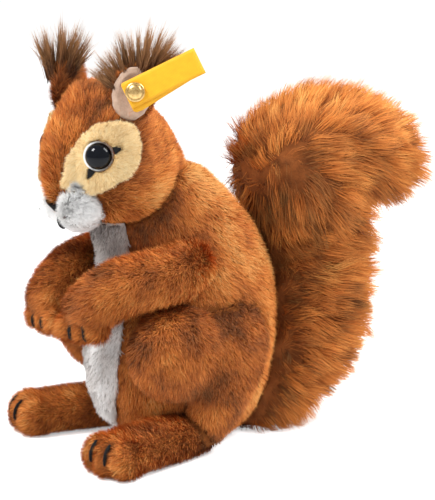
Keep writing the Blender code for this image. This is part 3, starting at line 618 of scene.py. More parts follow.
def grow(name, skin, look, strands, coat, comb, neighbours=(), shade=None, seed=1, where=None):
    """Grows a coat on a skin. comb gives the combed direction, shade a change of tone.

    look is the slot and the finish. where gives the share of pile at each place, for a coat on
    a part of the skin only.
    """
    draw = np.random.default_rng(seed)
    points, normals = skin_points(skin)
    places = points / MM
    room = room_beside(points, neighbours)
    seam = np.clip((room - coat["bare"]) / coat["seam"], 0.0, 1.0)
    way = comb(places, normals)
    swirl = slow_noise(points, coat["swirl_size"], 3.0)[:, None] * coat["swirl"]
    way = way + np.cross(normals, unit(way)) * swirl
    tone = coat["tone"] + coat["patches"] * slow_noise(points, coat["patch_size"], 7.0)
    tone = tone + 0.5 * coat["patches"] * slow_noise(points, coat["patch_size"] * 0.4, 11.0)
    # Painted shade: the pile is darkened towards the seams, where the creases between skins fall in
    # shade.
    tone = tone - coat["seam_painted_shade"] * (1.0 - seam) ** 2
    length = coat["length"] * (coat["seam_length"] + (1.0 - coat["seam_length"]) * seam)
    length = length * (1.0 + LENGTH_NOISE * slow_noise(points, 9.0, 5.0))
    lean = np.full(len(points), coat["lean"])
    if shade:
        change = shade(places, normals)
        tone = tone + change.get("tone", 0.0)
        length = length * change.get("length", 1.0)
        lean = lean + change.get("lean", 0.0)
    weights = (room > coat["bare"]) * (where(places) if where else 1.0)
    corners, shares = scatter(skin, strands, weights, draw)
    root, out, flow, tone, length, lean = (
        spread(values, corners, shares) for values in (points, normals, way, tone, length, lean)
    )
    out = unit(out)
    flow = unit(flow - out * (flow * out).sum(1, keepdims=True))
    flow = unit(flow + np.cross(out, flow) * draw.normal(0.0, coat["stray"], (strands, 1)))
    lean = np.radians(lean + draw.normal(0.0, coat["lean_spread"], strands))[:, None]
    length = (length * draw.uniform(*LENGTH_SPREAD, strands) * MM)[:, None, None]
    start = (out * np.sin(lean) + flow * np.cos(lean))[:, None]
    levels = coat["levels"]
    share = (np.arange(levels + 1) / levels)[None, :, None]
    bend = (flow * coat["bend"] - UP * coat["droop"] - out * coat["bend"] * 0.4)[:, None]
    sunk = root - out * coat["sunk"] * MM
    reach = length * (start * share + 0.5 * bend * share**2)
    guide = lock_guides(root, max(8, strands // coat["lock"]), draw)
    pull = coat["cling"] * share**1.3
    own = sunk[:, None] + reach
    shared = sunk[guide][:, None] + reach[guide]
    curves = own * (1.0 - pull) + shared * pull
    curves[..., 2] = np.maximum(curves[..., 2], FLOOR_GAP * MM)
    tone = tone + coat["lock_tone"] * draw.normal(0.0, 1.0, strands)[guide]
    tone = tone + coat["strand_tone"] * draw.normal(0.0, 1.0, strands)
    width = coat["width"] * 0.5 * MM * draw.uniform(*WIDTH_SPREAD, strands)
    piece = strand_piece(name, curves, out, width, tone, draw)
    finish_piece(piece, *look[:2])
    print(f"{name}: {strands} strands, {strands * (2 * levels - 1)} triangles")


# %% [markdown]
# ## Four kinds of coat
#
# The toy has short plush, long pile, loose fluff and clipped velour. Lengths are in millimetres
# and leans in degrees from the skin. The other numbers say how unruly the pile is, how much its
# tone varies, and how far a seam keeps it short and darkened by painted shade.

# %% The coats
PLUSH = {
    "length": 4.3, "lean": 50.0, "lean_spread": 14.0, "levels": 1, "width": 0.30, "bend": 0.25,
    "droop": 0.05, "sunk": 0.4, "lock": 10, "cling": 0.15, "stray": 0.45, "swirl": 0.5,
    "swirl_size": 10.0, "tone": 0.55, "patches": 0.42, "patch_size": 13.0, "lock_tone": 0.05,
    "strand_tone": 0.15, "bare": 0.5, "seam": 4.5, "seam_painted_shade": 0.40, "seam_length": 0.60,
}
LONG_PILE = {
    **PLUSH, "length": 17.0, "lean": 42.0, "lean_spread": 9.0, "levels": 3, "width": 0.40,
    "bend": 0.30, "droop": 0.10, "sunk": 4.0, "lock": 30, "cling": 0.55, "stray": 0.22,
    "swirl": 0.55, "swirl_size": 16.0, "tone": 0.52, "patches": 0.26, "patch_size": 12.0,
    "lock_tone": 0.15, "strand_tone": 0.08, "seam": 10.0, "seam_painted_shade": 0.36,
}
FLUFF = {
    **PLUSH, "length": 4.4, "lean": 52.0, "lean_spread": 16.0, "width": 0.36, "stray": 0.6,
    "tone": 0.70, "patches": 0.16, "seam_painted_shade": 0.16, "seam": 2.5, "bare": 0.45,
    "lock": 14, "cling": 0.4,
}
VELOUR = {
    **PLUSH, "length": 3.4, "lean": 36.0, "lean_spread": 14.0, "width": 0.32,
    "sunk": 0.15, "tone": 0.58, "patches": 0.20, "patch_size": 5.0, "seam": 0.8,
    "seam_painted_shade": 0.05, "bare": 0.3, "cling": 0.35, "lock": 7, "lock_tone": 0.10,
    "strand_tone": 0.20,
}
print("coats: plush, long pile, fluff, velour")

# %% [markdown]
# ## Which way the pile is combed
#
# The plush is cut so that its pile runs from the nose to the back of the head, down the body,
# and along each limb to the paw. A comb is a function from places on a skin to directions.

# %% Combs
NOSE_TIP = np.array((0.0, -93.4, 111.5))


def straight_comb(*way):
    """Pile that runs the same way all over a piece."""
    return lambda places, normals: np.tile(np.array(way), (len(places), 1))


def comb_from(point):
    """Pile that runs away from one point."""
    return lambda places, normals: unit(places - point)


def from_line(places, line):
    """From a line through the given points to each place: the step away and its length."""
    gap = np.full(len(places), 1e3)
    away = np.zeros_like(places)
    line = np.array(line, dtype=float)
    for start, end in zip(line[:-1], line[1:]):
        step = end - start
        share = np.clip((places - start) @ step / (step @ step), 0.0, 1.0)
        offset = places - start - share[:, None] * step
        nearer = np.linalg.norm(offset, axis=1) < gap
        away[nearer] = offset[nearer]
        gap[nearer] = np.linalg.norm(offset[nearer], axis=1)
    return away, gap


def ramp(values, start, end):
    """Rises from 0 at the start to 1 at the end."""
    return np.clip((values - start) / (end - start), 0.0, 1.0)


def spot(places, middle, size):
    """1 at the middle, fading within about the given size in millimetres."""
    return np.exp(-(np.linalg.norm(places - middle, axis=1) / size) ** 2)


def fold(places):
    """The same places with the right half mirrored onto the left."""
    return np.column_stack((np.abs(places[:, 0]), places[:, 1:]))


print("combs run from the nose at", NOSE_TIP)

# %% [markdown]
# ## Backing cloth
#
# Pile is woven through a backing, which shows a little between the strands. A dark one would
# look like holes and a pale one like bald spots, so each is dyed near the roots' own colour.

# %% Backings
SKIN_TONES = {
    "rust": ((0.10, 0.028, 0.008), (0.34, 0.11, 0.025)),
    "tail": ((0.09, 0.026, 0.008), (0.30, 0.09, 0.022)),
    "white": ((0.78, 0.75, 0.73), (0.93, 0.91, 0.90)),
    # The bib's backing is a greyer copy of the white one, as painted shade.
    "bib": ((0.34, 0.30, 0.28), (0.52, 0.48, 0.46)),
    "cream": ((0.66, 0.44, 0.20), (0.90, 0.68, 0.36)),
}


def backing_finish(name):
    """Woven backing: uneven dye and a fine grain, seen only between strands."""
    dark, painted_root_light = SKIN_TONES[name]
    finish = Finish(name + "_backing", Roughness=0.9, Specular_IOR_Level=0.1)
    patches = finish.noise(7.0, 3.0)
    grain = finish.noise(0.5, 2.0)
    finish.dye(((0.25, dark), (0.75, painted_root_light)), patches * 0.7 + grain * 0.3)
    finish.raise_bumps(grain, 0.25)
    return finish.material


BACKING = {name: backing_finish(name) for name in SKIN_TONES}
print("backings:", len(BACKING))

# %% [markdown]
# ## The body
#
# The torso is one stuffed skin. Its pile is painted golden on the back, as painted light, and
# lighter at the nape, as painted light over the crease's shade. It is painted darker at the
# shoulders and beside the throat, as painted shade.

# %% Torso
RUST = (
    "rust_plush", pile_finish("rust_pile", RUST_STOPS, 0.45, (0.95, 0.49, 0.19), 0.30),
    BACKING["rust"],
)
SHOULDER_PAINTED_SHADE = np.array((24.0, -53.9, 109.0))
THROAT_PAINTED_SHADE = np.array((21.0, -66.4, 96.3))


def torso_shade(places, normals):
    """Painted light on the back and at the nape, painted shade at the shoulders and beside the
    throat.
    """
    back = np.clip(normals[:, 1] * 0.9 + normals[:, 2] * 0.5, 0.0, 1.0)
    nape = ramp(places[:, 2], 104.0, 118.0) * np.clip(normals[:, 1] + 0.4, 0.0, 1.0)
    # Painted light: golden on the back, lighter at the nape over the crease. Painted shade: darker
    # at the shoulders and beside the throat.
    tone = 0.10 + 0.19 * back + 0.30 * nape
    for side in (LEFT, RIGHT):
        tone -= 0.42 * spot(places, SHOULDER_PAINTED_SHADE * (side, 1.0, 1.0), 14.0)
    tone -= 0.55 * spot(fold(places), THROAT_PAINTED_SHADE, 9.0)
    return {"tone": tone, "length": 1.0 + 0.1 * nape}


def stuffed(node, look, cell, easing, sink=0.0, name=""):
    """A stuffed skin in place of a solid."""
    piece = soft_skin((name or node) + "_skin", node, cell, easing, sink)
    slot, _, backing = look
    finish_piece(piece, slot, backing, [node])
    return piece


torso = stuffed("torso", RUST, 2.0, 6)
TORSO_NEIGHBOURS = (
    "bib", "head", "arm_left", "arm_right", "leg_left", "leg_right", "tail", "muzzle",
)
grow(
    "torso_pile", torso, RUST, 100000, {**PLUSH, "seam_painted_shade": 0.14, "patches": 0.32},
    straight_comb(0.0, 0.28, -1.0), TORSO_NEIGHBOURS, torso_shade, 11,
)

# %% [markdown]
# ## The head
#
# The face is sewn from several cuts of plush. A dark seam runs from each ear down beside the
# bridge of the nose, and along it the pile is short and turned in. At the foot of the ears and
# at the nape it is longer. At the nape it is also painted lighter, as painted light over the shade
# of the crease below the head.

# %% Head
FACE_SEAM = (
    (20.0, -64.9, 163.0), (17.5, -76.9, 156.0), (15.5, -86.0, 146.0), (14.0, -89.0, 133.0),
)
SEAM_WIDTH = 2.2
ear_low, ear_high = np.array(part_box("inner_ear_left")) / MM
EAR_FOOT = np.array(((ear_low[0] + ear_high[0]) / 2, (ear_low[1] + ear_high[1]) / 2, ear_low[2]))


def head_shade(places, normals):
    seam = np.exp(-(from_line(fold(places), FACE_SEAM)[1] / SEAM_WIDTH) ** 2)
    top = np.clip(normals[:, 2], 0.0, 1.0)
    brow = ramp(np.abs(places[:, 0]), 14.0, 0.0) * np.clip(-normals[:, 1], 0.0, 1.0)
    behind = ramp(places[:, 1], -66.0, -52.0)
    nape = behind * ramp(places[:, 2], 136.0, 122.0)
    crown = behind - nape
    foot = spot(fold(places), EAR_FOOT, 8.0)
    length = 1.0 - 0.50 * seam + 0.25 * brow + 0.5 * nape - 0.35 * crown + 1.3 * foot
    # Painted light: the tone is raised at the nape, over the shade of the crease below the head.
    tone = 0.08 - 0.55 * seam - 0.26 * top + 0.34 * nape + 0.10 * brow
    return {"tone": tone, "length": length, "lean": -14.0 * crown}


head = stuffed("head", RUST, 1.6, 6, sink=0.9)
HEAD_NEIGHBOURS = (
    "torso", "muzzle", "bib", "eye_patch_left", "eye_patch_right", "ear_left", "ear_right",
)
HEAD_PLUSH = {
    **PLUSH, "length": 4.1, "lean": 46.0, "seam": 3.0, "patches": 0.40, "patch_size": 10.0,
}
grow(
    "head_pile", head, RUST, 71000, HEAD_PLUSH, comb_from(NOSE_TIP), HEAD_NEIGHBOURS,
    head_shade, 12,
)

# %% [markdown]
# ## Arms, legs and feet
#
# Each limb is a stuffed skin of its own. Left and right are made by one loop, so a change to one
# reaches the other. The pile of the arm runs on over the shoulder, where it is painted lighter as
# painted light over the crease's shade. The toes are painted lighter than the back of the foot,
# which stays darker as painted shade between the legs.

# %% Limbs
def toe_shade(places, normals):
    # Painted light: lighter towards the toes, so the back of the foot stays darker as painted shade
    # between the legs.
    return {"tone": 0.26 * ramp(places[:, 1], -72.0, -98.0)}


def shoulder_shade(places, normals):
    # Painted light: the arm's end at the shoulder is lighter, over the shade of the crease.
    rear = places[:, 1].max()
    return {"tone": 0.30 * ramp(places[:, 1], rear - 22.0, rear - 6.0)}


ARM_PLUSH = {"length": 4.6, "seam_painted_shade": 0.20, "seam": 2.5, "seam_length": 0.4, "bare": 0.7}
LIMBS = (
    ("arm", 1.6, 4, 35000, (-0.10, -0.90, -0.45), ARM_PLUSH, shoulder_shade,
     ("claw_hand_{}_1", "claw_hand_{}_2", "leg_{}")),
    ("leg", 1.8, 10, 35000, (0.0, -0.10, -1.0), {"length": 4.2, "tone": 0.44}, None,
     ("torso", "arm_{}", "foot_{}", "bib")),
    ("foot", 1.5, 3, 24000, (0.22, -1.0, -0.10), {"length": 3.8, "tone": 0.52}, toe_shade,
     ("torso", "leg_{}", "claw_foot_{}_1", "claw_foot_{}_2", "tail")),
)
for limb, cell, easing, strands, way, changes, shade, neighbours in LIMBS:
    for side, word in SIDE_NAMES.items():
        node = f"{limb}_{word}"
        grow(
            node + "_pile", stuffed(node, RUST, cell, easing), RUST, strands,
            {**PLUSH, **changes}, straight_comb(side * way[0], way[1], way[2]),
            [name.format(word) for name in neighbours], shade, 20 + side,
        )

# %% [markdown]
# ## The tail
#
# The tail's pile is three times as long. It parts along a line near its front edge and is
# combed from there to the outside, so it lies along the flanks and stands out like a brush
# round the rim. Two coats are grown, a dense short one and a long one over it. The pile is
# painted lighter round the rim and on top, as painted light, and darker along the parting,
# partly for the roots that show there and partly as painted shade.

# %% Tail
TAIL_PARTING = (
    (0.0, 12.2, 121.7), (0.0, 2.6, 114.9), (0.0, -2.7, 106.4), (0.0, -3.7, 90.5),
    (0.0, -1.5, 71.9), (0.0, 1.8, 57.6), (0.0, 1.9, 43.6), (0.0, -3.4, 27.9),
    (0.0, -12.0, 15.1),
)
PARTING_WIDTH = 11.0


def from_parting(places):
    """Across the tail's middle plane, the way and the distance from the parting."""
    away, gap = from_line(places * np.array((0.0, 1.0, 1.0)), TAIL_PARTING)
    return unit(away), gap


def tail_comb(places, normals):
    return from_parting(places)[0] + np.array((0.0, 0.0, -0.12))


def tail_shade(places, normals):
    way, gap = from_parting(places)
    rim = np.clip((way * normals).sum(1), 0.0, 1.0)
    parting = np.exp(-(gap / PARTING_WIDTH) ** 2) * (np.abs(normals[:, 0]) + 0.2)
    top = np.clip(normals[:, 2], 0.0, 1.0)
    # Painted light round the rim and on top; darker along the parting, partly for its roots and
    # partly as painted shade.
    return {
        "tone": 0.18 * rim + 0.12 * top - 0.34 * parting,
        "lean": 28.0 * rim - 6.0 * parting,
        "length": 1.0 - 0.25 * rim,
    }


LONG = (
    "tail_pile", pile_finish("long_pile", TAIL_STOPS, 0.38, (0.94, 0.52, 0.16), 0.32),
    BACKING["tail"],
)
tail = stuffed("tail", LONG, 2.2, 8, sink=1.5)
UNDER_PILE = {
    **LONG_PILE, "length": 10.0, "levels": 2, "tone": 0.42, "width": 0.45, "cling": 0.35,
    "sunk": 3.0,
}
for name, strands, coat, seed in (
    ("tail_under_pile", 22000, UNDER_PILE, 31), ("tail_pile", 38000, LONG_PILE, 32),
):
    neighbours = ("torso", "leg_left", "leg_right")
    grow(name, tail, LONG, strands, coat, tail_comb, neighbours, tail_shade, seed)

# %% [markdown]
# ## White bib and snout
#
# The bib is a flat panel of white pile let into the chest. Its white is painted greyer, and
# darker towards its upper end, as painted shade under the head.
# The snout is a stuffed piece with two puffed lobes. Its fluff stands up more than the body's.

# %% Bib and snout
BIB = ("white_plush", pile_finish("bib_pile", BIB_SHADED_STOPS, 0.80, (0.95, 0.93, 0.92), 0.30))
WHITE = (
    "white_plush", pile_finish("white_pile", WHITE_STOPS, 0.95, (1.0, 0.99, 0.98), 0.50),
    BACKING["white"],
)


def bib_shade(places, normals):
    # Painted shade: darker towards the throat, under the head.
    return {"tone": 0.10 - 0.74 * ramp(places[:, 2], 84.0, 104.0)}


bib = soft_skin("bib_skin", "bib", 0.8, 2)
finish_piece(bib, "white_plush", BACKING["bib"], ["bib"])
grow(
    "bib_pile", bib, BIB, 25000, {**FLUFF, "lean": 38.0, "bare": 0.75, "patches": 0.26},
    straight_comb(0.0, 0.0, -1.0), ("torso", "head", "muzzle"), bib_shade, 41,
)


def snout_shade(places, normals):
    """Fluff that stands high over the lobes and lies flat below them, darker below as painted
    shade.
    """
    over = np.clip(normals[:, 2] * 1.4, 0.0, 1.0)
    under = np.clip(-normals[:, 2] * 1.6, 0.0, 1.0)
    # Painted shade: the fluff under the lobes is darker.
    return {
        "tone": 0.20 - 0.20 * under, "length": 1.0 + 0.75 * over - 0.55 * under,
        "lean": 18.0 * over - 24.0 * under,
    }


snout = stuffed("muzzle", WHITE, 0.8, 3, name="snout")
grow(
    "snout_pile", snout, WHITE, 29000, FLUFF, comb_from(NOSE_TIP),
    ("head", "nose_stitch", "mouth_stitch"), snout_shade, 42,
)

# %% [markdown]
# ## Whisker marks
#
# The real snout has a few pinches of grey hair where whiskers would stand. Each is made of
# short strands that start just inside the lobe and point away from its middle.

# %% Whisker marks
WHISKER_MARKS = ((14.7, -90.6, 113.7), (16.6, -87.9, 111.1), (11.2, -92.5, 109.0))
LOBE_MIDDLE = np.array((8.3, -83.6, 112.0))
MARK_HAIRS = 45
MARK_LENGTH = 2.6
MARK_TONE = 0.3
MARK_HALF_WIDTH = 0.14


def mark_hairs(draw):
    """A pinch of short hairs at each mark of both lobes: their curves and the skin's facing."""
    curves, facing = [], []
    for side in (LEFT, RIGHT):
        for mark in WHISKER_MARKS:
            place = np.array(mark) * (side, 1.0, 1.0)
            out = unit(place - LOBE_MIDDLE * (side, 1.0, 1.0))
            start = place - out + draw.normal(0.0, 0.20, (MARK_HAIRS, 3))
            way = unit(out + draw.normal(0.0, 0.35, (MARK_HAIRS, 3)))
            curves.append(np.stack((start, start + way * MARK_LENGTH), 1))
            facing.append(np.tile(out, (MARK_HAIRS, 1)))
    return np.concatenate(curves) * MM, np.concatenate(facing)


mark_draw = np.random.default_rng(44)
mark_curves, mark_facing = mark_hairs(mark_draw)
ones = np.ones(len(mark_curves))
whisker_marks = strand_piece(
    "whisker_marks", mark_curves, mark_facing, ones * MARK_HALF_WIDTH * MM, ones * MARK_TONE,
    mark_draw,
)
GREY = pile_finish("grey_strands", BROWN_STOPS, 0.8, (0.20, 0.15, 0.12), 0.3)
finish_piece(whisker_marks, "white_plush", GREY)
print("whisker marks:", 2 * len(WHISKER_MARKS))

# %% [markdown]
# ## Velour round the eyes
#
# The eye panels are clipped velour, little more than a millimetre deep. A dense stubble of one
# small blade each gives the dull, even surface, clipped shorter towards the eye. The snout's
# fluff stands over each panel's lower edge.

# %% Eye panels
CREAM = (
    "cream_velour", pile_finish("cream_pile", VELOUR_STOPS, 0.85, (0.98, 0.86, 0.60), 0.25, 0.8),
)
EDGE_FLUFF = {**FLUFF, "length": 4.2, "lean": 44.0, "bare": -1.0}
EDGE_WIDTH = 3.2
CLIP_WIDTH = 5.0


def clipped_round(ring):
    """Clips the pile short towards the eye's felt ring."""
    def shade(places, normals):
        gap = room_beside(places * MM, (ring,))
        return {"length": np.clip(0.1 + gap / CLIP_WIDTH, 0.1, 1.0)}
    return shade


def edge_shade(places, normals):
    # Painted light: the edge fluff is a lighter copy of the white pile, against the shade it stands
    # in.
    return {"tone": 0.12}


def edge_share(places):
    return (room_beside(places * MM, ("muzzle",)) < EDGE_WIDTH) * 1.0


for side, word in SIDE_NAMES.items():
    node = f"eye_patch_{word}"
    panel = soft_skin(node + "_skin", node, 0.7, 2)
    finish_piece(panel, "cream_velour", BACKING["cream"], [node])
    grow(
        node + "_stubble", panel, CREAM, 22000, VELOUR,
        comb_from(np.array(middle_of(f"eye_{word}")) / MM), ("head", "muzzle"),
        clipped_round(f"eye_ring_{word}"), 50 + side,
    )
    grow(
        node + "_edge", panel, WHITE, 8000, EDGE_FLUFF, straight_comb(0.0, 0.2, 1.0), (),
        edge_shade, 55 + side, edge_share,
    )

# %% [markdown]
# ## Turned pieces
#
# The eye, its felt ring and the rivet are round about one line, so each is turned from a
# profile, as on a lathe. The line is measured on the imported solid: a round solid spreads
# equally two ways, and the odd one out of its three main directions is its axis.

# %% Turn a profile about a solid's own axis
STEPS_ROUND = 56


def solid_points(node):
    return np.array([vertex.co for vertex in nodes[node].data.vertices])


def turning_line(node, outward):
    """The outermost point of a round solid on its axis, and the axis pointing outward."""
    points = solid_points(node)
    middle = points.mean(0)
    spreads, ways = np.linalg.eigh(np.cov((points - middle).T))
    odd = 0 if spreads[1] - spreads[0] > spreads[2] - spreads[1] else 2
    axis = Vector(ways[:, odd])
    if axis.dot(outward) < 0:
        axis.negate()
    reach = max((Vector(point) - Vector(middle)).dot(axis) for point in points)
    return Vector(middle) + axis * reach, axis


def lattice(first, rows, columns, closed=True):
    """Quads between rows of points. In a closed lattice each row is a ring."""
    quads = []
    for row in range(rows - 1):
        here = first + row * columns
        there = here + columns
        for step in range(columns if closed else columns - 1):
            after = (step + 1) % columns
            quads.append((here + step, here + after, there + after, there + step))
    return quads


def tube_faces(first, rings, around):
    """The faces of a tube of rings that is closed by a flat end at both sides."""
    last = first + (rings - 1) * around
    ends = [tuple(reversed(range(first, first + around))), tuple(range(last, last + around))]
    return lattice(first, rings, around) + ends


def turned(name, profile, tip, axis):
    """A closed mesh from (depth behind the tip, radius) pairs in millimetres."""
    across = axis.orthogonal().normalized()
    other = axis.cross(across)
    corners = []
    for depth, radius in reversed(profile):
        for step in range(STEPS_ROUND):
            angle = 2 * math.pi * step / STEPS_ROUND
            arm = across * math.cos(angle) + other * math.sin(angle)
            corners.append(tip - axis * depth * MM + arm * radius * MM)
    return mesh_piece(name, corners, tube_faces(0, len(profile), STEPS_ROUND))


def arc(depth, radius, height, width, steps, start=0.0, end=90.0):
    """Profile points on a quarter of an oval that bulges outward."""
    points = []
    for step in range(steps + 1):
        angle = math.radians(start + (end - start) * step / steps)
        points.append((depth + height * (1 - math.cos(angle)), radius + width * math.sin(angle)))
    return points


# %% [markdown]
# ## Eyes
#
# A toy eye is a black dome moulded with a shank, locked by a washer inside the head. The dome
# is polished, so it only needs to be smooth and to have something pale to mirror.

# %% Eyes and felt rings
EYE_RADIUS = 5.7
EYE_HEIGHT = 4.4
SHANK_RADIUS = 1.6
SHANK_LENGTH = 11.0
RING_RADIUS = 6.5
RING_THICKNESS = 0.8

eye_tones = ((0.2, (0.001, 0.0015, 0.003)), (0.8, (0.003, 0.004, 0.007)))
eye_finish, smear = grained(
    "eye_plastic", (3.0, 3.0), eye_tones, Roughness=0.05, Specular_IOR_Level=0.22,
)
eye_finish.drive("Roughness", 0.04 + 0.05 * smear)
felt_finish, _ = grained(
    "white_felt", (0.35, 3.0), ((0.2, (0.62, 0.61, 0.60)), (0.7, (0.90, 0.90, 0.90))), 0.2,
    Roughness=0.95, Specular_IOR_Level=0.1, Sheen_Weight=0.3,
)
washer_tones = ((0.3, (0.70, 0.70, 0.67)), (0.7, (0.78, 0.78, 0.76)))
washer_finish, _ = grained("washer_plastic", (2.0, 2.0), washer_tones, Roughness=0.5)

DOME = arc(0.0, 0.0, EYE_HEIGHT, EYE_RADIUS, 18)[1:]
EYE_PROFILE = DOME + [
    (EYE_HEIGHT + 0.25, EYE_RADIUS - 0.1),
    (EYE_HEIGHT + 0.3, SHANK_RADIUS),
    (EYE_HEIGHT + SHANK_LENGTH, SHANK_RADIUS),
]
for side, word in SIDE_NAMES.items():
    outward = Vector((side, -0.5, 0.0))
    tip, axis = turning_line(f"eye_{word}", outward)
    eye = turned(f"eye_{word}_dome", EYE_PROFILE, tip, axis)
    finish_piece(eye, "eye_plastic", eye_finish.material, [f"eye_{word}"])
    ring_top = tip - axis * (EYE_HEIGHT + 0.3) * MM
    ring_profile = [(0.0, SHANK_RADIUS + 0.3)] + arc(0.0, RING_RADIUS - 0.4, 0.4, 0.4, 4)
    ring_profile += [(RING_THICKNESS, RING_RADIUS - 0.1), (RING_THICKNESS, SHANK_RADIUS + 0.3)]
    ring = turned(f"eye_ring_{word}_felt", ring_profile, ring_top, axis)
    finish_piece(ring, "white_felt", felt_finish.material, [f"eye_ring_{word}"])
    cover(nodes[f"eye_washer_{word}"], washer_finish.material)
print("eyes:", 2 * EYE_RADIUS, "mm across")

# %% [markdown]
# ## Embroidery
#
# Nose, mouth, eye corners and claws are satin stitch: yarns laid side by side over a padding.
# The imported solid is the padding. Rays are cast on it along each yarn, so the yarns follow its
# shape, and both ends dip into the cloth.

# %% Lay yarns over a padding
YARN_RADIUS = 0.24
YARN_SIDES = 6
YARN_STEP = 0.45
YARN_PITCH = 0.42
YARN_DIP = 0.9
RAY_START = 5.0
RAY_LENGTH = 20.0
PLY_SWELL = 0.22
PLY_TWIST = 0.9

thread_finish, _ = grained(
    "black_thread", (0.3, 2.0), ((0.3, (0.004, 0.004, 0.004)), (0.8, (0.016, 0.014, 0.014))),
    0.08, Roughness=0.6, Specular_IOR_Level=0.2,
)


def yarn_corners(route):
    """The corners of a two-ply yarn: an oval that turns as it goes along."""
    corners = []
    for index, point in enumerate(route):
        before, after = route[max(index - 1, 0)], route[min(index + 1, len(route) - 1)]
        heading = (after - before).normalized()
        across = heading.cross(Vector((0.3, 0.2, 0.93))).normalized()
        other = heading.cross(across)
        for step in range(YARN_SIDES):
            angle = 2 * math.pi * step / YARN_SIDES
            swell = 1.0 + PLY_SWELL * math.cos(2 * (angle - index * PLY_TWIST))
            arm = across * math.cos(angle) + other * math.sin(angle)
            corners.append(point + arm * YARN_RADIUS * swell * MM)
    return corners


def yarn_mesh(name, routes):
    corners, faces = [], []
    for route in routes:
        faces += tube_faces(len(corners), len(route), YARN_SIDES)
        corners += yarn_corners(route)
    return mesh_piece(name, corners, faces)


def satin(node, facing, grain):
    """Yarns along the grain over the side of a solid that looks the given way."""
    tree = tree_of(node)
    facing = facing.normalized()
    grain = (grain - facing * grain.dot(facing)).normalized()
    across = facing.cross(grain)
    spans = solid_points(node) @ np.array((across, grain, facing)).T / MM
    lows, highs = spans.min(0), spans.max(0)
    above = facing * (highs[2] + RAY_START)
    dip = facing * YARN_DIP * MM
    routes = []
    for column in np.arange(lows[0] + YARN_PITCH / 2, highs[0], YARN_PITCH):
        hits = []
        for along in np.arange(lows[1] - YARN_STEP, highs[1] + YARN_STEP, YARN_STEP):
            start = (across * column + grain * along + above) * MM
            touch = tree.ray_cast(start, -facing, RAY_LENGTH * MM)[0]
            if touch is not None:
                hits.append(touch + facing * YARN_RADIUS * 0.5 * MM)
        if len(hits) > 2:
            routes.append([hits[0] - dip] + hits + [hits[-1] - dip])
    finish_piece(yarn_mesh(node + "_yarn", routes), "black_thread", thread_finish.material)
    cover(nodes[node], thread_finish.material)
    return len(routes)


def long_way(node):
    """The direction in which a solid is longest."""
    return Vector(np.linalg.eigh(np.cov(solid_points(node).T))[1][:, 2])


print("nose yarns:", satin("nose_stitch", Vector((0.0, -1.0, 0.15)), UPWARD))
print("mouth yarns:", satin("mouth_stitch", Vector((0.0, -1.0, -0.2)), UPWARD))
for side, word in SIDE_NAMES.items():
    for place in ("front", "back"):
        corner = f"eye_corner_{place}_{word}"
        satin(corner, Vector((side * 0.86, -0.50, 0.08)), long_way(corner))
    for limb, paw in (("arm", "hand"), ("foot", "foot")):
        for claw in (1, 2):
            stitch = f"claw_{paw}_{word}_{claw}"
            low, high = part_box(f"{limb}_{word}")
            palm = Vector(((low.x + high.x) / 2, low.y + 10 * MM, low.z + 9 * MM))
            satin(stitch, middle_of(stitch) - palm, long_way(stitch))

# %% [markdown]
# ## Ears
#
# Each ear is a stuffed cup with a felt lining in front and a brush of long hair at its top.
# Felt has no strands to see, so its finish is a fine noise that also lifts the surface.

# %% Ears and linings
lining_finish = Finish("beige_felt", Roughness=0.92, Specular_IOR_Level=0.15, Sheen_Weight=0.25)
lining_grain = lining_finish.noise(0.4, 4.0)
lining_finish.dye(
    ((0.2, (0.30, 0.19, 0.13)), (0.8, (0.62, 0.44, 0.33))),
    lining_finish.noise(3.0, 2.0) * 0.6 + lining_grain * 0.4,
)
lining_finish.raise_bumps(lining_grain, 0.22)
EAR_PLUSH = {**PLUSH, "seam": 1.5, "seam_painted_shade": 0.15, "tone": 0.48}
EAR_LENGTHS = {"left": 2.0, "right": 4.8}
for side, word in SIDE_NAMES.items():
    node, lining_node = f"ear_{word}", f"inner_ear_{word}"
    ear = stuffed(node, RUST, 0.9, 3, sink=0.6)
    grow(
        node + "_pile", ear, RUST, 14000, {**EAR_PLUSH, "length": EAR_LENGTHS[word]},
        straight_comb(0.0, 0.3, 1.0), (lining_node, "head"), None, 60 + side,
    )
    lining = soft_skin(lining_node + "_felt", lining_node, 0.5, 4)
    finish_piece(lining, "beige_felt", lining_finish.material, [lining_node])

# %% [markdown]
# ## Ear tufts
#
# The tufts are loose hair caught in the ear's top seam. They spread like a fan, dark at the
# root and paler at the tip, in small pointed locks.

# %% Tufts
TUFT_LEVELS = 4
LOCK_STRANDS = 50
LOCK_RADIUS = 1.5
BROWN = pile_finish("brown_pile", BROWN_STOPS, 0.7, (0.66, 0.34, 0.14), 0.7, 0.55)


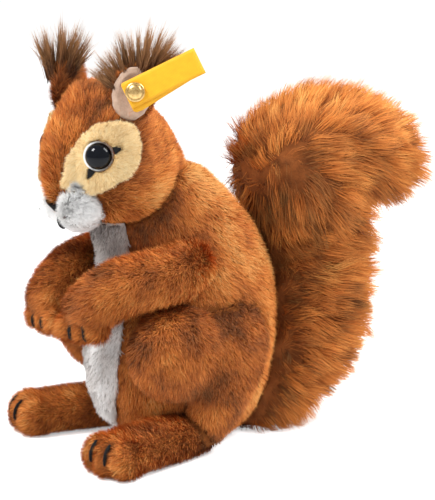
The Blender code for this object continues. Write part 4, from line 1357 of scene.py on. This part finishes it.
def brush(name, node, foot, locks, reach, slant, fan, lengths, seed):
    """Pointed locks of hair in place of a tuft solid, rooted about the foot.

    Across the tuft the locks stand reach to either side, rise by slant, turn from the first to
    the second angle of fan, and have the three given lengths at the edges and in the middle.
    """
    draw = np.random.default_rng(seed)
    across = np.array(picture_right)
    deep = np.cross(across, UP)
    place = np.linspace(-1.0, 1.0, locks) + draw.normal(0.0, 0.06, locks)
    root = foot + np.outer(place * reach, across) + np.outer(place * slant, UP)
    root = root + np.outer(draw.uniform(-2.5, 2.5, locks), deep)
    turn = fan[0] + (fan[1] - fan[0]) * (place + 1.0) / 2.0
    turn = np.radians(turn + draw.normal(0.0, 7.0, locks))
    tilt = draw.normal(0.0, 0.24, locks)
    way = unit(np.outer(np.cos(turn), UP) + np.outer(np.sin(turn), across) + np.outer(tilt, deep))
    length = np.interp(place, (-1.0, 0.25, 1.0), lengths) * draw.uniform(0.70, 1.08, locks)

    count = locks * LOCK_STRANDS
    lock = np.repeat(np.arange(locks), LOCK_STRANDS)
    start = draw.normal(0.0, LOCK_RADIUS * 0.5, (count, 3))
    end = draw.normal(0.0, 1.0, (count, 3)) * draw.choice((0.7, 2.6), (count, 1), p=(0.7, 0.3))
    own = (length[lock] * draw.uniform(0.40, 1.05, count))[:, None, None]
    share = (np.arange(TUFT_LEVELS + 1) / TUFT_LEVELS)[None, :, None]
    belly = start[:, None] * (1.0 - share) + end[:, None] * share**2
    splay = np.outer(np.sin(turn), across)[lock][:, None] * share**2 * 2.0
    curves = root[lock][:, None] + way[lock][:, None] * own * share + belly + splay
    outward = unit(way[lock] * 0.3 + start + np.outer(np.sign(draw.normal(size=count)), deep) * 0.5)
    tones = 0.45 + 0.16 * draw.normal(size=locks)[lock] + 0.16 * draw.normal(size=count)
    width = 0.13 * MM * draw.uniform(0.8, 1.3, count)
    piece = strand_piece(name, curves * MM, outward, width, tones, draw)
    finish_piece(piece, "brown_pile", BROWN, [node])
    print(f"{name}: {count} strands")


def beside(node, right, rise, toward):
    """A place in millimetres, off a solid's middle to the right, up and towards the viewer."""
    off = picture_right * right + UPWARD * rise + to_camera * toward
    return np.array(middle_of(node)) / MM + np.array(off)


LEFT_FOOT = beside("inner_ear_left", 1.5, 4.5, -4.6)
RIGHT_FOOT = beside("ear_right", -3.0, 3.5, 5.0)
brush(
    "ear_tuft_left_hair", "ear_tuft_left", LEFT_FOOT, 80, 8.0, 4.6, (-46.0, 48.0),
    (18.0, 29.5, 16.0), 71,
)
brush(
    "ear_tuft_right_hair", "ear_tuft_right", RIGHT_FOOT, 54, 4.3, 0.0, (-14.0, 27.0),
    (24.0, 30.0, 21.0), 72,
)

# %% [markdown]
# ## Ribbon
#
# The ribbon is a woven strip, folded once round the ear and left plain. It follows a path over
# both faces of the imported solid. Its weave is two crossed waves, one along it and one across.

# %% Ribbon
RIBBON_WIDTH = 11.6
RIBBON_THICKNESS = 0.35
RIBBON_COLUMNS = 9
BACK_STEPS = 12
FOLD_STEPS = 8
FRONT_STEPS = 14
SLIP = 2.4
SLIP_STEPS = 9
CUP = 0.5
WEAVE_PITCH = 0.55


def ribbon_axes():
    """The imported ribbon's directions: along, across and out of the ear."""
    points = solid_points("ear_tag")
    ways = np.linalg.eigh(np.cov((points - points.mean(0)).T))[1]
    picks = ((2, picture_right), (1, UPWARD), (0, to_camera))
    return [ways[:, k] * np.sign(ways[:, k] @ np.array(toward)) for k, toward in picks]


def ribbon_route(low, high, inner, outer):
    """The ribbon's path, as places along and out: back layer, the fold, then front layer."""
    back = high - low - 1.5
    route = [(high - 1.5 - back * k / BACK_STEPS, inner) for k in range(BACK_STEPS)]
    middle, radius = (inner + outer) / 2, (outer - inner) / 2
    for k in range(FOLD_STEPS + 1):
        angle = math.radians(-90.0 - 180.0 * k / FOLD_STEPS)
        route.append((low + 1.5 * radius * math.cos(angle), middle + radius * math.sin(angle)))
    for k in range(1, FRONT_STEPS + 1):
        share = k / FRONT_STEPS
        lift = 0.5 * math.sin(share * math.pi) + 0.35 * math.sin(share * 7.0)
        route.append((low + (high - low) * share, outer + 0.35 * lift))
    return route


along, across, out = ribbon_axes()
alongs, acrosses, outs = (solid_points("ear_tag") @ way / MM for way in (along, across, out))
middle_across = (acrosses.min() + acrosses.max()) / 2
route = ribbon_route(alongs.min() + 1.6, alongs.max(), outs.min() + 0.3, outs.max() - 0.3)
grid = []
for step, (a, o) in enumerate(route):
    slip = SLIP * max(0.0, 1.0 - abs(step - BACK_STEPS + 1) / SLIP_STEPS)
    for column in range(RIBBON_COLUMNS):
        side = column / (RIBBON_COLUMNS - 1) - 0.5
        place = along * a + across * (middle_across + side * RIBBON_WIDTH - slip)
        grid.append((place + out * (o - CUP * side * side)) * MM)
cells = lattice(0, len(route), RIBBON_COLUMNS, closed=False)
ribbon_draft = mesh_piece("ribbon_draft", grid, cells)
cloth = ribbon_draft.modifiers.new("cloth", "SOLIDIFY")
cloth.thickness = RIBBON_THICKNESS * MM
cloth.offset = 0.0
ribbon = own_mesh("ribbon", ribbon_draft)

ribbon_finish = Finish("yellow_ribbon", Roughness=0.55, Specular_IOR_Level=0.3, Sheen_Weight=0.15)
where = ribbon_finish.node("ShaderNodeTexCoord", output="Object")


def ribs(way, pitch):
    """Waves of thread square to a direction, between 0 and 1."""
    dot = {"operation": "DOT_PRODUCT"}
    share = ribbon_finish.node("ShaderNodeVectorMath", dot, {0: where, 1: tuple(way)}, "Value")
    return 0.5 + 0.5 * (share * (2 * math.pi / (pitch * MM))).sine()


weave = ribs(along, WEAVE_PITCH) * 0.6 + ribs(across, WEAVE_PITCH * 0.7) * 0.4
wear = ribbon_finish.noise(2.5, 3.0)
ribbon_tones = ((0.2, (0.72, 0.31, 0.005)), (0.8, (0.93, 0.50, 0.012)))
ribbon_finish.dye(ribbon_tones, weave * 0.6 + wear * 0.4)
ribbon_finish.raise_bumps(weave, 0.06)
finish_piece(ribbon, "yellow_ribbon", ribbon_finish.material, ["ear_tag"])

# %% [markdown]
# ## Rivet
#
# The rivet is stamped brass: a domed head in a raised rim, and a post through ribbon and ear
# that is flattened at the back.

# %% Rivet
RIVET_RADIUS = 4.2
RIVET_HEIGHT = 2.2
RIVET_POST = 1.1
RIVET_END = RIVET_HEIGHT + 8.5

brass_tones = ((0.2, (0.52, 0.30, 0.09)), (0.7, (0.85, 0.60, 0.26)))
brass_finish, tarnish = grained("brass", (1.2, 4.0), brass_tones, Metallic=1.0, Roughness=0.25)
brass_finish.drive("Roughness", 0.18 + 0.22 * tarnish)
tip, axis = turning_line("ear_button", Vector((0.9, -0.4, 0.1)))
rivet_profile = [
    *arc(0.0, 0.0, 0.9, 3.0, 8)[1:], (1.0, 3.15), (0.85, 3.4),
    *arc(0.85, RIVET_RADIUS - 0.8, 0.6, 0.8, 5)[1:],
    (RIVET_HEIGHT, RIVET_RADIUS - 0.15), (RIVET_HEIGHT, RIVET_POST),
    (RIVET_END, RIVET_POST), (RIVET_END, 3.0), (RIVET_END + 1.0, 2.7),
]
rivet = turned("rivet", rivet_profile, tip, axis)
finish_piece(rivet, "brass", brass_finish.material, ["ear_button"])
print("rivet:", 2 * RIVET_RADIUS, "mm across")

# %% [markdown]
# ## Sizes
#
# The dressed toy's box is printed beside the box of the solids, with its count of triangles.
# The dressed toy has to stay close to the solids it stands for.

# %% Sizes and the end
bpy.context.view_layer.update()
dressed_box = [list(corner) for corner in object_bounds()]
triangles = 0
for thing in scene.objects:
    if thing.type == "MESH" and thing != floor:
        thing.data.calc_loop_triangles()
        triangles += len(thing.data.loop_triangles)
print("triangles:", triangles)
for low_or_high, first, second in zip(("low", "high"), cad_box, dressed_box):
    print(low_or_high, [round(v / MM, 1) for v in first], [round(v / MM, 1) for v in second])
